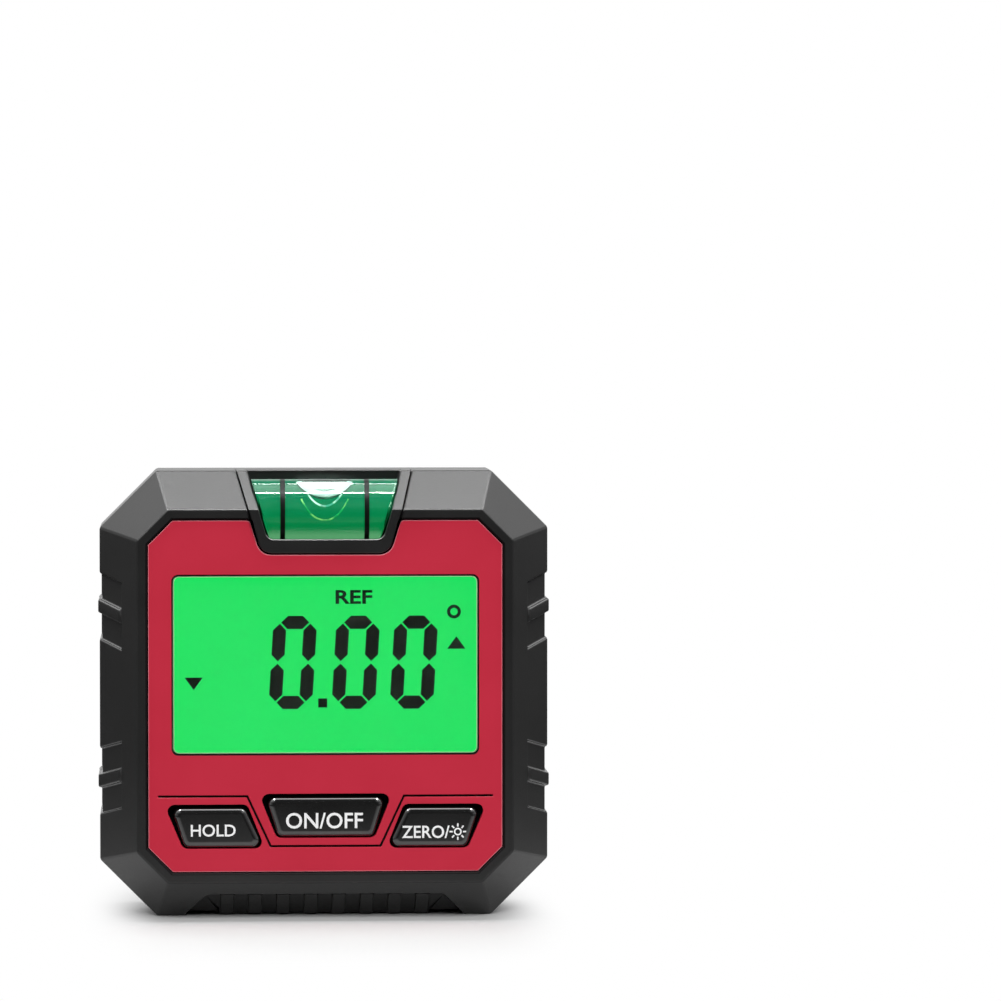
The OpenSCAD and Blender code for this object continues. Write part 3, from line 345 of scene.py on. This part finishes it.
def finishNode(node, finish):  # the solid stays and takes the finish
    solid = frame["nodes"][node]
    if not solid.material_slots:
        solid.data.materials.append(finish)
    for holder in solid.material_slots:
        holder.material = finish


softening = {"merge": 0.002, "cutAt": (0.3, 30.2), "cutMerge": 0.001, "flat": 0.5, "sharp": 18, "smooth": 40,
             "level": 100}  # lengths in mm, angles in degrees


def looseCopy(node):  # a copy of a solid, free of its body, its loose triangles joined, left in edit mode
    onlySelect(frame["nodes"][node])
    bpy.ops.object.duplicate()
    piece = bpy.context.object
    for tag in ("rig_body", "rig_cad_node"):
        del piece[tag]
    bpy.ops.object.parent_clear(type="CLEAR_KEEP_TRANSFORM")
    bpy.ops.mesh.customdata_custom_splitnormals_clear()
    bpy.ops.object.mode_set(mode="EDIT")
    bpy.ops.mesh.select_all(action="SELECT")
    bpy.ops.mesh.remove_doubles(threshold=softening["merge"] * mm)
    return piece


def softenedCopy(node, spec):  # the solid's own form with its sharp edges rounded over
    piece = looseCopy(node)
    cutX, cutZ = (v * mm for v in softening["cutAt"])
    # cuts through the middle keep faces with holes in two halves
    for middle, across in (((cutX, 0, 0), (1, 0, 0)), ((0, 0, cutZ), (0, 0, 1))):
        bpy.ops.mesh.select_all(action="SELECT")
        bpy.ops.mesh.bisect(plane_co=middle, plane_no=across, threshold=softening["cutMerge"] * mm)
        bpy.ops.mesh.mark_seam(clear=False)
    bpy.ops.mesh.select_all(action="SELECT")
    bpy.ops.mesh.dissolve_limited(angle_limit=math.radians(softening["flat"]), delimit={"SEAM"})
    bpy.ops.object.mode_set(mode="OBJECT")
    edge = piece.modifiers.new("edge", "BEVEL")
    edge.width = spec["edge"] * mm
    edge.segments = spec["steps"]
    edge.limit_method = "ANGLE"
    edge.angle_limit = math.radians(softening["sharp"])
    edge.use_clamp_overlap = False  # the arcs' short chords would thin every edge
    bpy.ops.object.modifier_apply(modifier="edge")
    bpy.ops.object.shade_smooth_by_angle(angle=math.radians(softening["smooth"]))
    level = piece.modifiers.new("level", "WEIGHTED_NORMAL")  # keeps large faces flat beside rounded edges
    level.keep_sharp = True
    level.weight = softening["level"]
    bpy.ops.object.modifier_apply(modifier="level")
    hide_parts(node)
    return settle(piece, spec["name"], spec["finish"], spec["body"], smooth=None)


softened = {
    "front_shell": {"name": "case_front", "edge": 0.25, "steps": 3, "finish": caseAbs, "body": "case",
                    "slot": "black_abs"},
    "rear_shell": {"name": "case_back", "edge": 0.25, "steps": 3, "finish": caseAbs, "body": "case",
                   "slot": "black_abs"},
    "battery_door": {"name": "bay_door", "edge": 0.12, "steps": 2, "finish": caseAbs, "body": "door",
                     "slot": "black_abs"},
    "face_panel": {"name": "red_face", "edge": 0.11, "steps": 2, "finish": faceAbs, "body": "case",
                   "slot": "red_abs"},
    "vial_housing": {"name": "vial_trough", "edge": 0.18, "steps": 3, "finish": troughShadeAbs, "body": "case",
                     "slot": "black_abs"},
    "magnet_base": {"name": "ribbed_base", "edge": 0.2, "steps": 2, "finish": baseShadeAbs, "body": "case",
                    "slot": "base_abs"},
    "hold_key": {"name": "hold_cap", "edge": 0.4, "steps": 4, "finish": keyAbs, "body": "hold_button",
                 "slot": "key_abs"},
    "power_key": {"name": "power_cap", "edge": 0.4, "steps": 4, "finish": keyAbs, "body": "power_button",
                  "slot": "key_abs"},
    "zero_key": {"name": "zero_cap", "edge": 0.4, "steps": 4, "finish": keyAbs, "body": "zero_button",
                 "slot": "key_abs"},
    "lcd_window": {"name": "clear_window", "edge": 0.16, "steps": 2, "finish": windowAcrylic, "body": "case",
                   "slot": "clear_acrylic"},
}
made = {}
for node, spec in softened.items():
    made[node] = softenedCopy(node, spec)
    print("softened", node, len(made[node].data.polygons), "faces")

# painted shade: the floor of the line cut round the keys is painted near black
cutLineShade = {"top": -13.52, "floor": -13.05, "foot": 9.6, "head": 17.2, "side": 22.6}
redFace = made["face_panel"]
redFace.data.materials.append(paintedShadeAbs)
for face in redFace.data.polygons:
    x, y, z = (v / mm for v in face.center)
    sunk = cutLineShade["top"] < y < cutLineShade["floor"]
    if sunk and cutLineShade["foot"] < z < cutLineShade["head"] and abs(x) < cutLineShade["side"]:
        face.material_index = 1

# painted highlight: the red face's outer edge faces are painted a paler, glossier red
redEdgeHighlightMask = {"side": 22.9, "head": 48.0, "foot": 8.9, "corner": 10.5, "lean": (0.15, 0.97)}
redFace.data.materials.append(redEdgeHighlightAbs)
for face in redFace.data.polygons:
    across, height = abs(face.center.x) / mm, face.center.z / mm
    outer = across > redEdgeHighlightMask["side"] or across - height > redEdgeHighlightMask["corner"]
    outer = outer or height > redEdgeHighlightMask["head"] or height < redEdgeHighlightMask["foot"]
    if outer and redEdgeHighlightMask["lean"][0] < -face.normal.y < redEdgeHighlightMask["lean"][1]:
        face.material_index = 2


def stepFaces(piece, node, spec):  # faces of a piece that stand round a solid's outline and turn towards it
    low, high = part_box(node)
    reach = (high - low) / 2 + Vector((1, 1, 1)) * spec["ease"] * mm
    found = []
    for face in piece.data.polygons:
        offset = face.center - (low + high) / 2
        inside = abs(offset.x) < reach.x and abs(offset.z) < reach.z and face.center.y < spec["back"] * mm
        inward = face.normal.x * offset.x + face.normal.z * offset.z < 0
        if inside and inward and -face.normal.y < spec["lean"]:
            found.append(face)
    return found


# painted shade: the step in the case round the red face is painted near black, and so is the edge of the
# display opening
panelStepShade = {"ease": 0.6, "back": -13.3, "lean": 0.97}
caseFront = made["front_shell"]
caseFront.data.materials.append(paintedShadeAbs)
for face in stepFaces(caseFront, "face_panel", panelStepShade):
    face.material_index = 1
openingStepShade = {"ease": -0.8, "back": -12.6, "lean": 0.97}  # the window's hidden rim is wider than the opening
for face in stepFaces(redFace, "lcd_window", openingStepShade):
    face.material_index = 1

# painted highlight: the window's sawn edge is painted a pale green
windowRimHighlightMask = {"lean": 0.95}
clearWindow = made["lcd_window"]
clearWindow.data.materials.append(windowRimHighlightAcrylic)
for face in clearWindow.data.polygons:
    if abs(face.normal.y) < windowRimHighlightMask["lean"]:
        face.material_index = 1

# the trough's rim is moulded as the case is, and its edge below the vial is painted pale grey as a highlight
troughRimAndHighlight = {"front": -13.4, "flat": 0.97, "up": 0.35, "lean": (0.25, 0.97), "foot": 49.0, "head": 52.6}
trough = made["vial_housing"]
for finish in (caseAbs, paleEdgeHighlightAbs):
    trough.data.materials.append(finish)
for face in trough.data.polygons:
    lean, height = -face.normal.y, face.center.z / mm
    if face.center.y < troughRimAndHighlight["front"] * mm and lean > troughRimAndHighlight["flat"]:
        face.material_index = 1
    low = troughRimAndHighlight["foot"] < height < troughRimAndHighlight["head"] and face.center.y < troughRimAndHighlight["front"] * mm
    if low and face.normal.z > troughRimAndHighlight["up"] and troughRimAndHighlight["lean"][0] < lean < troughRimAndHighlight["lean"][1]:
        face.material_index = 2

# painted highlights: the narrow edge faces of the side grips are painted pale grey
gripEdgeHighlightMask = {"side": 26.0, "foot": 11.0, "head": 48.0, "lean": (0.5, 0.87), "strip": 0.16, "long": 1.0}
for node in ("front_shell", "rear_shell"):
    piece = made[node]
    piece.data.materials.append(paleEdgeHighlightAbs)
    count = 0
    for face in piece.data.polygons:
        corners = [piece.data.vertices[i].co for i in face.vertices]
        longest = max((corners[i] - corners[i - 1]).length for i in range(len(corners)))
        narrow = longest > gripEdgeHighlightMask["long"] * mm and face.area < gripEdgeHighlightMask["strip"] * mm * longest
        placed = gripEdgeHighlightMask["foot"] * mm < face.center.z < gripEdgeHighlightMask["head"] * mm
        placed = placed and abs(face.center.x) > gripEdgeHighlightMask["side"] * mm
        if narrow and placed and gripEdgeHighlightMask["lean"][0] < abs(face.normal.z) < gripEdgeHighlightMask["lean"][1]:
            face.material_index = len(piece.data.materials) - 1
            count += 1
    print("rubbed edges on", node, count)

# painted shade: the well that each key sinks into is painted near black too
keyWellShade = {"top": 0.36}  # mm behind the key's face
for node in ("hold_key", "power_key", "zero_key"):
    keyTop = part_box(node)[0].y
    made[node].data.materials.append(paintedShadeAbs)
    for face in made[node].data.polygons:
        if face.center.y > keyTop + keyWellShade["top"] * mm:
            face.material_index = 1


# the display's front glass, a hair thinner than its seat so that it touches neither neighbour
glassPlate = {"ease": 0.04, "edge": 0.1}


def displayPlate(spec):
    low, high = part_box("lcd_front_glass")
    ease = spec["ease"] * mm
    onlySelect()
    size = (high - low) - Vector((ease, 2 * ease, ease))
    bpy.ops.mesh.primitive_cube_add(size=1, location=(low + high) / 2, scale=size)
    plate = bpy.context.object
    bpy.ops.object.transform_apply(location=True, rotation=True, scale=True)
    edge = plate.modifiers.new("edge", "BEVEL")
    edge.width = spec["edge"] * mm
    edge.segments = 1
    bpy.ops.object.modifier_apply(modifier="edge")
    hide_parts("lcd_front_glass")
    return settle(plate, "display_glass_plate", displayGlass, "case", smooth=None)


displayPlate(glassPlate)
print("display glass set in")

nodeFinishes = {
    "lcd_segments": segmentInk, "lcd_rear_glass": displayGlow,
    "backlight_panel": displayGlow, "backlight_leds": ledResin, "lcd_frame": frameAbs,
    "zebra_strip": silicone, "main_board": laminate, "tilt_sensor": chipEpoxy,
    "controller_chip": chipEpoxy, "quartz_crystal": canSteel, "chip_capacitors": ceramic,
    "tact_switches": switchNylon, "hold_plunger": nylon, "power_plunger": nylon, "zero_plunger": nylon,
    "board_screws": screwSteel, "vial_tube": vialAcrylic, "vial_plug": vialAcrylic,
    "vial_rings": ringInk, "base_magnets": magnetNickel, "base_screws": screwSteel,
    "upper_cell": upperSleeve, "lower_cell": lowerSleeve, "battery_springs": springSteel,
    "contact_plates": contactNickel, "housing_screws": screwSteel,
}
for node, finish in nodeFinishes.items():
    finishNode(node, finish)
print("solids finished:", len(nodeFinishes))


# Words on the keys and the display

legend = {"proud": 0.03, "sunk": 0.03, "weight": 0.012, "boldWeight": 0.025, "extrude": 0.02, "curve": 4,
          "merge": 0.001}  # proud, sunk and merge in mm, the rest in the letters' own unit


def printedWord(spec):  # lettering fitted to its box, front at spec front, as a thin raised print
    onlySelect()
    bpy.ops.object.text_add()
    word = bpy.context.object
    word.data.body = spec["text"]
    word.data.offset = spec["weight"]
    word.data.extrude = legend["extrude"]
    word.data.resolution_u = legend["curve"]
    bpy.ops.object.convert(target="MESH")
    corners = [v.co for v in word.data.vertices]
    low = [min(c[i] for c in corners) for i in range(3)]
    high = [max(c[i] for c in corners) for i in range(3)]
    left, right, foot, head = (v * mm for v in spec["box"])
    wide = (right - left) / (high[0] - low[0])
    tall = (head - foot) / (high[1] - low[1])
    deep = (spec["back"] - spec["front"]) * mm / (high[2] - low[2])
    word.scale = (wide, tall, deep)
    word.rotation_euler = (math.radians(90), 0, 0)
    word.location = (left - low[0] * wide, spec["back"] * mm + low[2] * deep, foot - low[1] * tall)
    bpy.ops.object.transform_apply(location=True, rotation=True, scale=True)
    bpy.ops.object.mode_set(mode="EDIT")
    bpy.ops.mesh.select_all(action="SELECT")
    bpy.ops.mesh.remove_doubles(threshold=legend["merge"] * mm)
    bpy.ops.mesh.normals_make_consistent(inside=False)
    bpy.ops.object.mode_set(mode="OBJECT")
    return settle(word, spec["name"], spec["finish"], spec["body"])


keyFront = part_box("hold_key")[0].y / mm
words = [  # box: left, right, foot and head in mm
    {"name": "hold_word", "text": "HOLD", "box": (-17.88, -11.94, 11.40, 13.01), "body": "hold_button"},
    {"name": "power_word", "text": "ON/OFF", "box": (-5.27, 4.95, 12.41, 14.51), "body": "power_button"},
    {"name": "zero_word", "text": "ZERO/", "box": (10.13, 16.45, 11.07, 12.74), "body": "zero_button"},
]
for spec in words:
    printedWord(dict(spec, weight=legend["weight"], front=keyFront - legend["proud"],
                     back=keyFront + legend["sunk"], finish=legendInk, slot="key_abs"))
segmentLow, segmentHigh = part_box("lcd_segments")
printedWord({"name": "reference_word", "text": "REF", "box": (1.39, 6.28, 42.13, 43.97),
             "weight": legend["boldWeight"], "front": segmentLow.y / mm, "back": segmentHigh.y / mm,
             "finish": segmentInk, "body": "case", "slot": "display_ink"})
print("words printed:", len(words) + 1)


# The lamp sign beside the word on the right key: a ring with rays round it
lampSign = {"x": 17.55, "z": 11.92, "ring": 0.52, "line": 0.2, "ray": 0.42, "gap": 0.16,  # mm
            "rays": 8, "corners": 24}


def lampMark(spec):
    front = (keyFront - legend["proud"]) * mm
    thick = (legend["proud"] + legend["sunk"]) * mm
    onlySelect()
    bpy.ops.mesh.primitive_circle_add(vertices=spec["corners"], radius=spec["ring"] * mm, fill_type="NGON",
                                      location=(spec["x"] * mm, front, spec["z"] * mm),
                                      rotation=(math.radians(90), 0, 0))
    mark = bpy.context.object
    bpy.ops.object.transform_apply(location=True, rotation=True, scale=True)
    bpy.ops.object.mode_set(mode="EDIT")
    bpy.ops.mesh.select_all(action="SELECT")
    bpy.ops.mesh.inset(thickness=spec["line"] * mm)
    bpy.ops.mesh.delete(type="FACE")
    bpy.ops.object.mode_set(mode="OBJECT")
    depth = mark.modifiers.new("depth", "SOLIDIFY")
    depth.thickness = thick
    depth.offset = -1  # from the print's front into the key
    bpy.ops.object.modifier_apply(modifier="depth")
    for i in range(spec["rays"]):
        turn = 2 * math.pi * i / spec["rays"]
        reach = (spec["ring"] + spec["gap"] + spec["ray"] / 2) * mm
        onlySelect()
        middle = (spec["x"] * mm + reach * math.cos(turn), front + legend["proud"] * mm,
                  spec["z"] * mm + reach * math.sin(turn))
        bpy.ops.mesh.primitive_cube_add(size=1, location=middle, rotation=(0, -turn, 0),
                                        scale=(spec["ray"] * mm, thick, spec["line"] * mm))
        bpy.ops.object.transform_apply(location=True, rotation=True, scale=True)
        onlySelect(bpy.context.object, mark)
        bpy.ops.object.join()
    onlySelect(mark)
    bpy.ops.object.mode_set(mode="EDIT")
    bpy.ops.mesh.select_all(action="SELECT")
    bpy.ops.mesh.normals_make_consistent(inside=False)
    bpy.ops.object.mode_set(mode="OBJECT")
    return settle(mark, "lamp_sign", legendInk, "zero_button")


lampMark(lampSign)
print("lamp sign made")


# The spirit wets the tube, so its copy reaches a little into the wall and no air lies between them
vialFill = {"axisY": -7.0, "axisZ": 54.3, "bore": 3.3, "wet": 0.06, "end": 0.72, "bubbleZ": 59.374,
            "bubble": 3.95}  # mm


def spiritCopy(spec):
    fill = looseCopy("vial_fluid")
    bpy.ops.object.mode_set(mode="OBJECT")
    axis = Vector((0, spec["axisY"] * mm, spec["axisZ"] * mm))
    bubble = Vector((0, spec["axisY"] * mm, spec["bubbleZ"] * mm))
    airFaces = [(face.center - bubble).length < spec["bubble"] * mm for face in fill.data.polygons]
    half = max(point.co.x for point in fill.data.vertices)
    wider = 1 + spec["wet"] / spec["bore"]
    grow = Vector((1 + spec["end"] * mm / half, wider, wider))
    for point in fill.data.vertices:
        if (point.co - bubble).length > spec["bubble"] * mm:  # the bubble keeps its size
            point.co = axis + (point.co - axis) * grow
    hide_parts("vial_fluid")
    settle(fill, "vial_spirit_fill", spirit, "case", smooth=40)
    # the faces round the bubble take the white painted reflection
    fill.data.materials.append(bubbleSkinPaintedReflection)
    for face, air in zip(fill.data.polygons, airFaces):
        face.material_index = 1 if air else 0
    return fill


spiritCopy(vialFill)
print("vial filled")

# Edges of the spirit round the bubble: thin rings that lie on the spirit and carry painted highlights,
# painted glints and a painted dark rim
meniscus = {"flatten": 0.4, "steps": 72, "sides": 8, "rings": [
    {"name": "bubble_bowl_painted_highlight", "half": 3.4, "reach": 49, "width": 0.45, "back": 0.1, "finish": bowlPaintedHighlight},
    {"name": "bubble_rim_painted_shade", "half": 3.8, "reach": 60, "width": 0.12, "back": 0.3, "finish": rimPaintedShade},
    {"name": "bubble_painted_glint", "half": 2.9, "reach": 77, "width": 0.12, "back": 0.5, "finish": rimPaintedGlint},
    {"name": "bubble_halo_painted_glint", "half": 3.8, "reach": 107, "width": 0.11, "back": 0.55, "finish": haloPaintedGlint},
]}  # half length and half width in mm, reach in degrees, back is the share left out at the back


def meniscusRing(spec):
    onlySelect()
    skin = (vialFill["bore"] + vialFill["wet"]) * mm
    bpy.ops.mesh.primitive_torus_add(major_radius=1.0, minor_radius=spec["width"] * mm,
                                     major_segments=meniscus["steps"], minor_segments=meniscus["sides"])
    ring = bpy.context.object
    hidden = []
    for point in ring.data.vertices:  # the flat ring is laid round the top of the bore
        x, y, lift = point.co
        hidden.append(y < spec["back"])
        turn, out = math.atan2(y, x), math.hypot(x, y) - 1
        along = (spec["half"] * mm + out) * math.cos(turn)
        swing = (math.radians(spec["reach"]) + out / skin) * math.sin(turn)
        radius = skin + meniscus["flatten"] * lift
        point.co = (along, vialFill["axisY"] * mm - radius * math.sin(swing),
                    vialFill["axisZ"] * mm + radius * math.cos(swing))
    onlySelect(ring)
    bpy.ops.object.mode_set(mode="EDIT")
    bpy.ops.mesh.select_mode(type="VERT")
    bpy.ops.mesh.select_all(action="DESELECT")
    bpy.ops.object.mode_set(mode="OBJECT")
    for point, high in zip(ring.data.vertices, hidden):
        point.select = high
    bpy.ops.object.mode_set(mode="EDIT")
    bpy.ops.mesh.delete(type="VERT")  # only the front of the edge catches light
    bpy.ops.mesh.select_all(action="SELECT")
    bpy.ops.mesh.fill_holes(sides=0)
    bpy.ops.mesh.select_all(action="SELECT")
    bpy.ops.mesh.normals_make_consistent(inside=False)
    bpy.ops.object.mode_set(mode="OBJECT")
    return settle(ring, spec["name"], spec["finish"], "case", smooth=60)


for ringSpec in meniscus["rings"]:
    meniscusRing(ringSpec)
print("meniscus rings laid")


# Floor, lamps and camera
floorSpec = {
    "size": 8.0, "foot": (0.021, 0.012, 0.0), "white": 0.055,  # metres: the shade ends this far from the foot
    "squeeze": (4.6, 1.0, 1.0),  # and sooner at the sides
    "near": 0.03, "dark": 0.2,  # metres: in gloss the floor is pale when near and dim when far
    "gloss": 0.89, "bounce": 0.5,  # how pale it is in gloss and in bounced light
    "paper": [(0.0, "#1c1c1c"), (0.5, "#6a6a6a"), (1.0, "#d4d4d4")],  # dim room, its bounce, and white
}


def paleFloor(spec):
    onlySelect()
    bpy.ops.mesh.primitive_plane_add(size=spec["size"], location=(0, 0, 0))
    floor = bpy.context.object
    floor.name = "floor"
    finish, tree, shader = newFinish("matt_white_sweep", {"Roughness": 0.9, "Specular IOR Level": 0.0})
    place = addNode(tree, "ShaderNodeTexCoord")
    ray = addNode(tree, "ShaderNodeLightPath")
    split = addNode(tree, "ShaderNodeSeparateXYZ", None, {"Vector": (place, "Object")})
    behind = addNode(tree, "ShaderNodeMath", {"operation": "GREATER_THAN", 1: 0.0}, {0: (split, "Y")})
    through = addNode(tree, "ShaderNodeMath", {"operation": "MULTIPLY"},
                      {0: (behind, "Value"), 1: (ray, "Is Transmission Ray")})
    seen = addNode(tree, "ShaderNodeMath", {"operation": "MAXIMUM"},
                   {0: (ray, "Is Camera Ray"), 1: (through, "Value")})
    side = addNode(tree, "ShaderNodeVectorMath", {"operation": "ABSOLUTE"}, {0: (place, "Object")})
    past = addNode(tree, "ShaderNodeVectorMath", {"operation": "SUBTRACT", 1: spec["foot"]},
                   {0: (side, "Vector")})
    outside = addNode(tree, "ShaderNodeVectorMath", {"operation": "MAXIMUM", 1: (0, 0, 0)},
                      {0: (past, "Vector")})
    narrow = addNode(tree, "ShaderNodeVectorMath", {"operation": "MULTIPLY", 1: spec["squeeze"]},
                     {0: (outside, "Vector")})
    clear = addNode(tree, "ShaderNodeVectorMath", {"operation": "LENGTH"}, {0: (narrow, "Vector")})
    far = addNode(tree, "ShaderNodeMapRange",
                  {"From Min": 0.0, "From Max": spec["white"], "interpolation_type": "SMOOTHSTEP"},
                  {"Value": (clear, "Value")})
    share = addNode(tree, "ShaderNodeMath", {"operation": "MULTIPLY"},
                    {0: (far, "Result"), 1: (seen, "Value")})
    reach = addNode(tree, "ShaderNodeVectorMath", {"operation": "LENGTH"}, {0: (place, "Object")})
    close = addNode(tree, "ShaderNodeMapRange",
                    {"From Min": spec["near"], "From Max": spec["dark"],
                     "To Min": spec["gloss"], "To Max": 0.0}, {"Value": (reach, "Value")})
    nearGloss = addNode(tree, "ShaderNodeMath", {"operation": "MULTIPLY"},
                        {0: (close, "Result"), 1: (ray, "Is Glossy Ray")})
    bounce = addNode(tree, "ShaderNodeMath", {"operation": "MULTIPLY", 1: spec["bounce"]},
                     {0: (ray, "Is Diffuse Ray")})
    bright = addNode(tree, "ShaderNodeMath", {"operation": "MAXIMUM"},
                     {0: (seen, "Value"), 1: (nearGloss, "Value")})
    pale = addNode(tree, "ShaderNodeMath", {"operation": "MAXIMUM"},
                   {0: (bright, "Value"), 1: (bounce, "Value")})
    paper = addNode(tree, "ShaderNodeValToRGB", None, {"Fac": (pale, "Value")})
    colourStops(paper, spec["paper"])
    tree.links.new(paper.outputs["Color"], shader.inputs["Base Color"])
    white = addNode(tree, "ShaderNodeEmission", {"Color": (1, 1, 1, 1), "Strength": 1.0})
    both = addNode(tree, "ShaderNodeMixShader", None, {0: (share, "Value"), 1: (shader, "BSDF"),
                                                       2: (white, "Emission")})
    tree.links.new(both.outputs["Shader"], tree.nodes["Material Output"].inputs["Surface"])
    floor.data.materials.append(finish)
    return floor


paleFloor(floorSpec)


studio = {
    "behind": {"From Min": 0.66, "From Max": 0.95, "To Min": 0.04, "To Max": 1.0},  # white backdrop
    "sky": {"From Min": 0.28, "From Max": 0.92, "To Min": 0.0, "To Max": 2.6},  # bright overhead
    "wing": {"From Min": 0.15, "From Max": 0.5},  # share of that sky at the sides
    "wall": {"From Min": 0.45, "From Max": 0.9, "To Max": 0.55},  # pale side walls
    "rear": {"From Min": 0.0, "From Max": 0.3},  # share of that sky at the back, for glass
    "fill": 0.25,  # level of the dim room
}


def studioWorld(spec):  # white for the camera; gloss and glass see a backdrop and wings, the rest a dim room
    world = bpy.data.worlds.new("studio")
    scene.world = world
    world.use_nodes = True
    tree = world.node_tree
    back = tree.nodes["Background"]
    ray = addNode(tree, "ShaderNodeLightPath")
    place = addNode(tree, "ShaderNodeTexCoord")
    split = addNode(tree, "ShaderNodeSeparateXYZ", None, {"Vector": (place, "Generated")})
    behind = addNode(tree, "ShaderNodeMapRange", spec["behind"], {"Value": (split, "Y")})
    sky = addNode(tree, "ShaderNodeMapRange", spec["sky"], {"Value": (split, "Z")})
    side = addNode(tree, "ShaderNodeMath", {"operation": "ABSOLUTE"}, {0: (split, "X")})
    wing = addNode(tree, "ShaderNodeMapRange", spec["wing"], {"Value": (side, "Value")})
    wall = addNode(tree, "ShaderNodeMapRange", spec["wall"], {"Value": (side, "Value")})
    rear = addNode(tree, "ShaderNodeMapRange", spec["rear"], {"Value": (split, "Y")})
    wings = addNode(tree, "ShaderNodeMath", {"operation": "MULTIPLY"},
                    {0: (sky, "Result"), 1: (wing, "Result")})
    sides = addNode(tree, "ShaderNodeMath", {"operation": "MAXIMUM"},
                    {0: (wings, "Value"), 1: (wall, "Result")})
    room = addNode(tree, "ShaderNodeMath", {"operation": "MAXIMUM"},
                   {0: (behind, "Result"), 1: (sides, "Value")})
    gloss = addNode(tree, "ShaderNodeMath", {"operation": "MULTIPLY"},
                    {0: (room, "Value"), 1: (ray, "Is Glossy Ray")})
    rearSky = addNode(tree, "ShaderNodeMath", {"operation": "MULTIPLY"},
                      {0: (sky, "Result"), 1: (rear, "Result")})
    clear = addNode(tree, "ShaderNodeMath", {"operation": "MAXIMUM"},
                    {0: (behind, "Result"), 1: (rearSky, "Value")})
    glass = addNode(tree, "ShaderNodeMath", {"operation": "MULTIPLY"},
                    {0: (clear, "Value"), 1: (ray, "Is Transmission Ray")})
    bent = addNode(tree, "ShaderNodeMath", {"operation": "MAXIMUM"},
                   {0: (gloss, "Value"), 1: (glass, "Value")})
    white = addNode(tree, "ShaderNodeMath", {"operation": "MAXIMUM"},
                    {0: (ray, "Is Camera Ray"), 1: (bent, "Value")})
    fill = addNode(tree, "ShaderNodeMath", {"operation": "MULTIPLY", 1: spec["fill"]},
                   {0: (ray, "Is Diffuse Ray")})
    level = addNode(tree, "ShaderNodeMath", {"operation": "MAXIMUM"},
                    {0: (white, "Value"), 1: (fill, "Value")})
    back.inputs["Color"].default_value = (1, 1, 1, 1)
    tree.links.new(level.outputs["Value"], back.inputs["Strength"])


studioWorld(studio)
print("floor and studio set")

lamps = [  # watts, then size across and along, place and aim, all in metres
    {"name": "top_box", "power": 2.8, "size": (0.8, 0.4), "place": (0.0, 0.01, 0.62),
     "aim": (0, 0.01, 0.03), "gloss": True, "diffuse": True},
    {"name": "front_fill", "power": 31.0, "size": (1.4, 0.8), "place": (0.2, -1.5, 1.0),
     "aim": (0, 0, 0.03), "gloss": False, "diffuse": True},
    {"name": "rear_fill", "power": 22.0, "size": (1.4, 0.8), "place": (-0.2, 1.5, 1.0),
     "aim": (0, 0, 0.03), "gloss": False, "diffuse": True},
    {"name": "box_front_edge", "power": 8.0, "size": (0.9, 0.05), "place": (0.0, -0.2, 0.62),
     "aim": (0, 0, 0.03), "gloss": True, "diffuse": False},  # bright rims of the box draw lines on the edges
    {"name": "box_rear_edge", "power": 2.0, "size": (0.9, 0.05), "place": (0.0, 0.29, 0.62),
     "aim": (0, 0, 0.03), "gloss": True, "diffuse": False},
]
for lampSpec in lamps:
    onlySelect()
    bpy.ops.object.light_add(type="AREA", location=lampSpec["place"])
    lamp = bpy.context.object
    lamp.name = lampSpec["name"]
    lamp.data.shape = "RECTANGLE"
    lamp.data.size, lamp.data.size_y = lampSpec["size"]
    lamp.data.energy = lampSpec["power"]
    lamp.rotation_euler = (Vector(lampSpec["aim"]) - lamp.location).to_track_quat("-Z", "Y").to_euler()
    lamp.visible_camera = False
    lamp.visible_glossy = lampSpec["gloss"]
    lamp.visible_diffuse = lampSpec["diffuse"]
print("stage lit with", len(lamps), "lamps")

cameraSpec = {"place": (-18.303, -813.791, 84.049), "yaw": 2.97206, "pitch": -2.01071, "lens": 217.285,
              "sensor": 36, "clip": (0.05, 20)}  # place and lens in mm, clip in metres
cameraTurn = (math.radians(90 + cameraSpec["pitch"]), 0, -math.radians(cameraSpec["yaw"]))
onlySelect()
bpy.ops.object.camera_add(location=[v * mm for v in cameraSpec["place"]], rotation=cameraTurn)
camera = bpy.context.object
camera.data.lens = cameraSpec["lens"]
camera.data.sensor_width = cameraSpec["sensor"]
camera.data.clip_start, camera.data.clip_end = cameraSpec["clip"]
scene.camera = camera
print("camera set")
